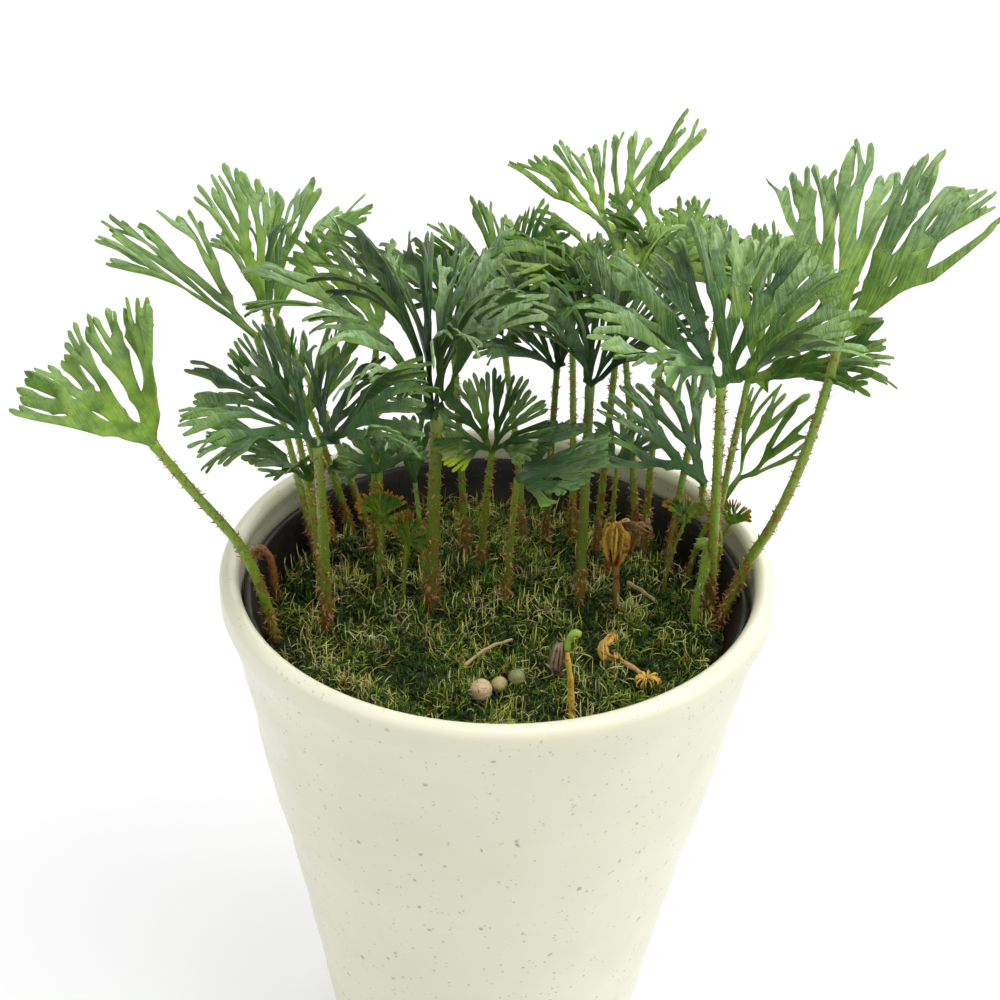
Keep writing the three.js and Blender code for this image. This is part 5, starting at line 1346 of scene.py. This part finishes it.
def straw(name, pts, seed):
    rnd = random.Random(seed)
    path = centripetal(pts, 0.4)
    n = len(path)
    path = path + np.array([[0.05 * math.sin(i * 0.9), 0.05 * math.cos(i * 0.7), 0] for i in range(n)])
    u = np.linspace(0, 1, n)
    radii = 0.38 * (1 - 0.35 * u) * (1 + 0.08 * np.sin(np.arange(n) * 0.8))
    radii[0] *= 0.8
    radii[-1] *= 0.4
    v, f, T, N, S = sweep(path, radii, 8, flat=np.full(n, 0.75))
    k = Nodes(name + "_husk")
    n1 = k.noise(600, 3)
    c = k.mix(n1, srgb(206, 184, 122), srgb(168, 140, 84))
    sh = k.principled(c, 0.7, k.bump(n1, 0.5, 0.0003))
    return make_object(name + "_look", v, f, [k.done(sh.outputs[0])], node=name)


# ---------------------------------------------------------------- build it all
build_cover_pot()
build_liner()
for ob in bpy.data.objects:
    if ob.type == "MESH" and ob.name.startswith("growing_medium"):
        ob.data.materials.clear()
        ob.data.materials.append(bark())

for f in FRONDS:
    if f["name"].startswith("withered"):
        {"back": withered_back, "middle": withered_middle, "front": withered_front}[f["name"].split("_")[2]]()
    elif f["name"].startswith("young"):
        frond(f, YOUNG, STALK, SCALE, scaly=0.7)
    else:
        frond(f, LEAF_TURNING if f["name"] == "frond_centre_low_a" else LEAF, STALK, SCALE, scaly=1.6 if f["name"] == "frond_centre_left" else 1.0)

build_moss()

crozier(
    "crozier_green",
    [(35.6, 1, 90.6), (35.3, 0.4, 95.4), (35.3, -0.2, 99), (35.8, -0.5, 103), (36.35, -0.6, 107), (36.6, -0.6, 110.4), (36.2, -0.6, 112.1), (35.2, -0.6, 112.2), (34.8, -0.6, 111.1)],
    (0.78, 1.12),
    STALK_PALE,
    SCALE_PALE,
    9.0,
    5,
)
crozier(
    "crozier_brown",
    [(-38.6, 6, 90.2), (-39.3, 4.6, 94.0), (-39.8, 3.4, 98.0), (-39.9, 3.1, 101.2), (-40.6, 3.0, 104.0), (-41.9, 3.0, 105.4), (-43.0, 3.0, 104.8), (-43.0, 3.0, 103.5), (-42.1, 3.0, 103.2)],
    (0.72, 0.62),
    STALK_RED,
    SCALE_RED,
    7.0,
    6,
)
pellet("fertiliser_bead_1", (-2.0, -24.8), 1.9, srgb(210, 184, 146), srgb(190, 160, 118), 1)
pellet("fertiliser_bead_2", (1.05, -22.9), 1.4, srgb(168, 160, 104), srgb(190, 166, 120), 2)
pellet("fertiliser_bead_3", (3.95, -21.5), 1.45, srgb(150, 154, 100), srgb(116, 124, 76), 3)


def on_moss(x, y, up):
    return (x, y, float(moss_top(x, y)) + up)


straw("dry_straw_1", [on_moss(23.6, 9.6, 1.2), on_moss(26.2, 6.6, 1.5), on_moss(28.9, 3.2, 1.2)], 4)
straw("dry_straw_2", [on_moss(-5.1, -17.8, 1.2), on_moss(-1, -13.6, 1.6), on_moss(3.2, -9.4, 1.3)], 5)

# ---------------------------------------------------------------- stage, light and camera
def stage():
    k = Nodes("studio_floor")
    sh = k.principled((0.42, 0.42, 0.42, 1), 0.85)
    sh.inputs["Emission Color"].default_value = (1, 1, 1, 1)
    sh.inputs["Emission Strength"].default_value = 0.46
    m = k.done(sh.outputs[0])
    me = bpy.data.meshes.new("studio_floor")
    s = 6.0
    me.from_pydata([(-s, -s, 0), (s, -s, 0), (s, s, 0), (-s, s, 0)], [], [(0, 1, 2, 3)])
    me.materials.append(m)
    ob = bpy.data.objects.new("studio_floor", me)
    bpy.context.scene.collection.objects.link(ob)


stage()


def area(name, loc, target, size, power, color=(1, 1, 1)):
    li = bpy.data.lights.new(name, "AREA")
    li.shape = "RECTANGLE"
    li.size, li.size_y = size
    li.energy = power
    li.color = color
    ob = bpy.data.objects.new(name, li)
    ob.location = loc
    d = Vector(target) - Vector(loc)
    ob.rotation_euler = d.to_track_quat("-Z", "Y").to_euler()
    bpy.context.scene.collection.objects.link(ob)
    return ob


area("key_light", (0.30, -0.10, 0.95), (0, 0, 0.12), (0.7, 0.7), 7.6)
area("back_light", (0.30, 0.85, 0.65), (0, 0, 0.13), (1.0, 0.7), 6.0)
area("right_light", (0.95, -0.25, 0.45), (0, 0, 0.08), (0.7, 0.8), 2.2)
area("left_light", (-0.9, -0.35, 0.5), (0, 0, 0.08), (0.7, 0.8), 1.7)

world = bpy.data.worlds.new("studio")
world.use_nodes = True
bg = world.node_tree.nodes["Background"]
bg.inputs["Color"].default_value = (0.97, 0.98, 1.0, 1)
bg.inputs["Strength"].default_value = 0.62
bpy.context.scene.world = world

cam = bpy.data.cameras.new("camera")
cam.lens = 83.45
cam.sensor_width = 36
cam.sensor_fit = "HORIZONTAL"
cam.clip_start, cam.clip_end = 0.01, 20
co = bpy.data.objects.new("camera", cam)
C = Vector((0.06, -339.37, 330.77)) * MM
r = Vector((0.99935, 0.01903, 0.03050))
u = Vector((-0.03594, 0.52899, 0.84787))
w = Vector((0, -0.84842, 0.52933))
r = (r - w * r.dot(w)).normalized()
u = w.cross(r)
co.matrix_world = Matrix(((r.x, u.x, w.x, C.x), (r.y, u.y, w.y, C.y), (r.z, u.z, w.z, C.z), (0, 0, 0, 1)))
bpy.context.scene.collection.objects.link(co)
bpy.context.scene.camera = co
bpy.context.scene.view_settings.view_transform = "Standard"
bpy.context.scene.view_settings.look = "None"

bpy.context.view_layer.update()
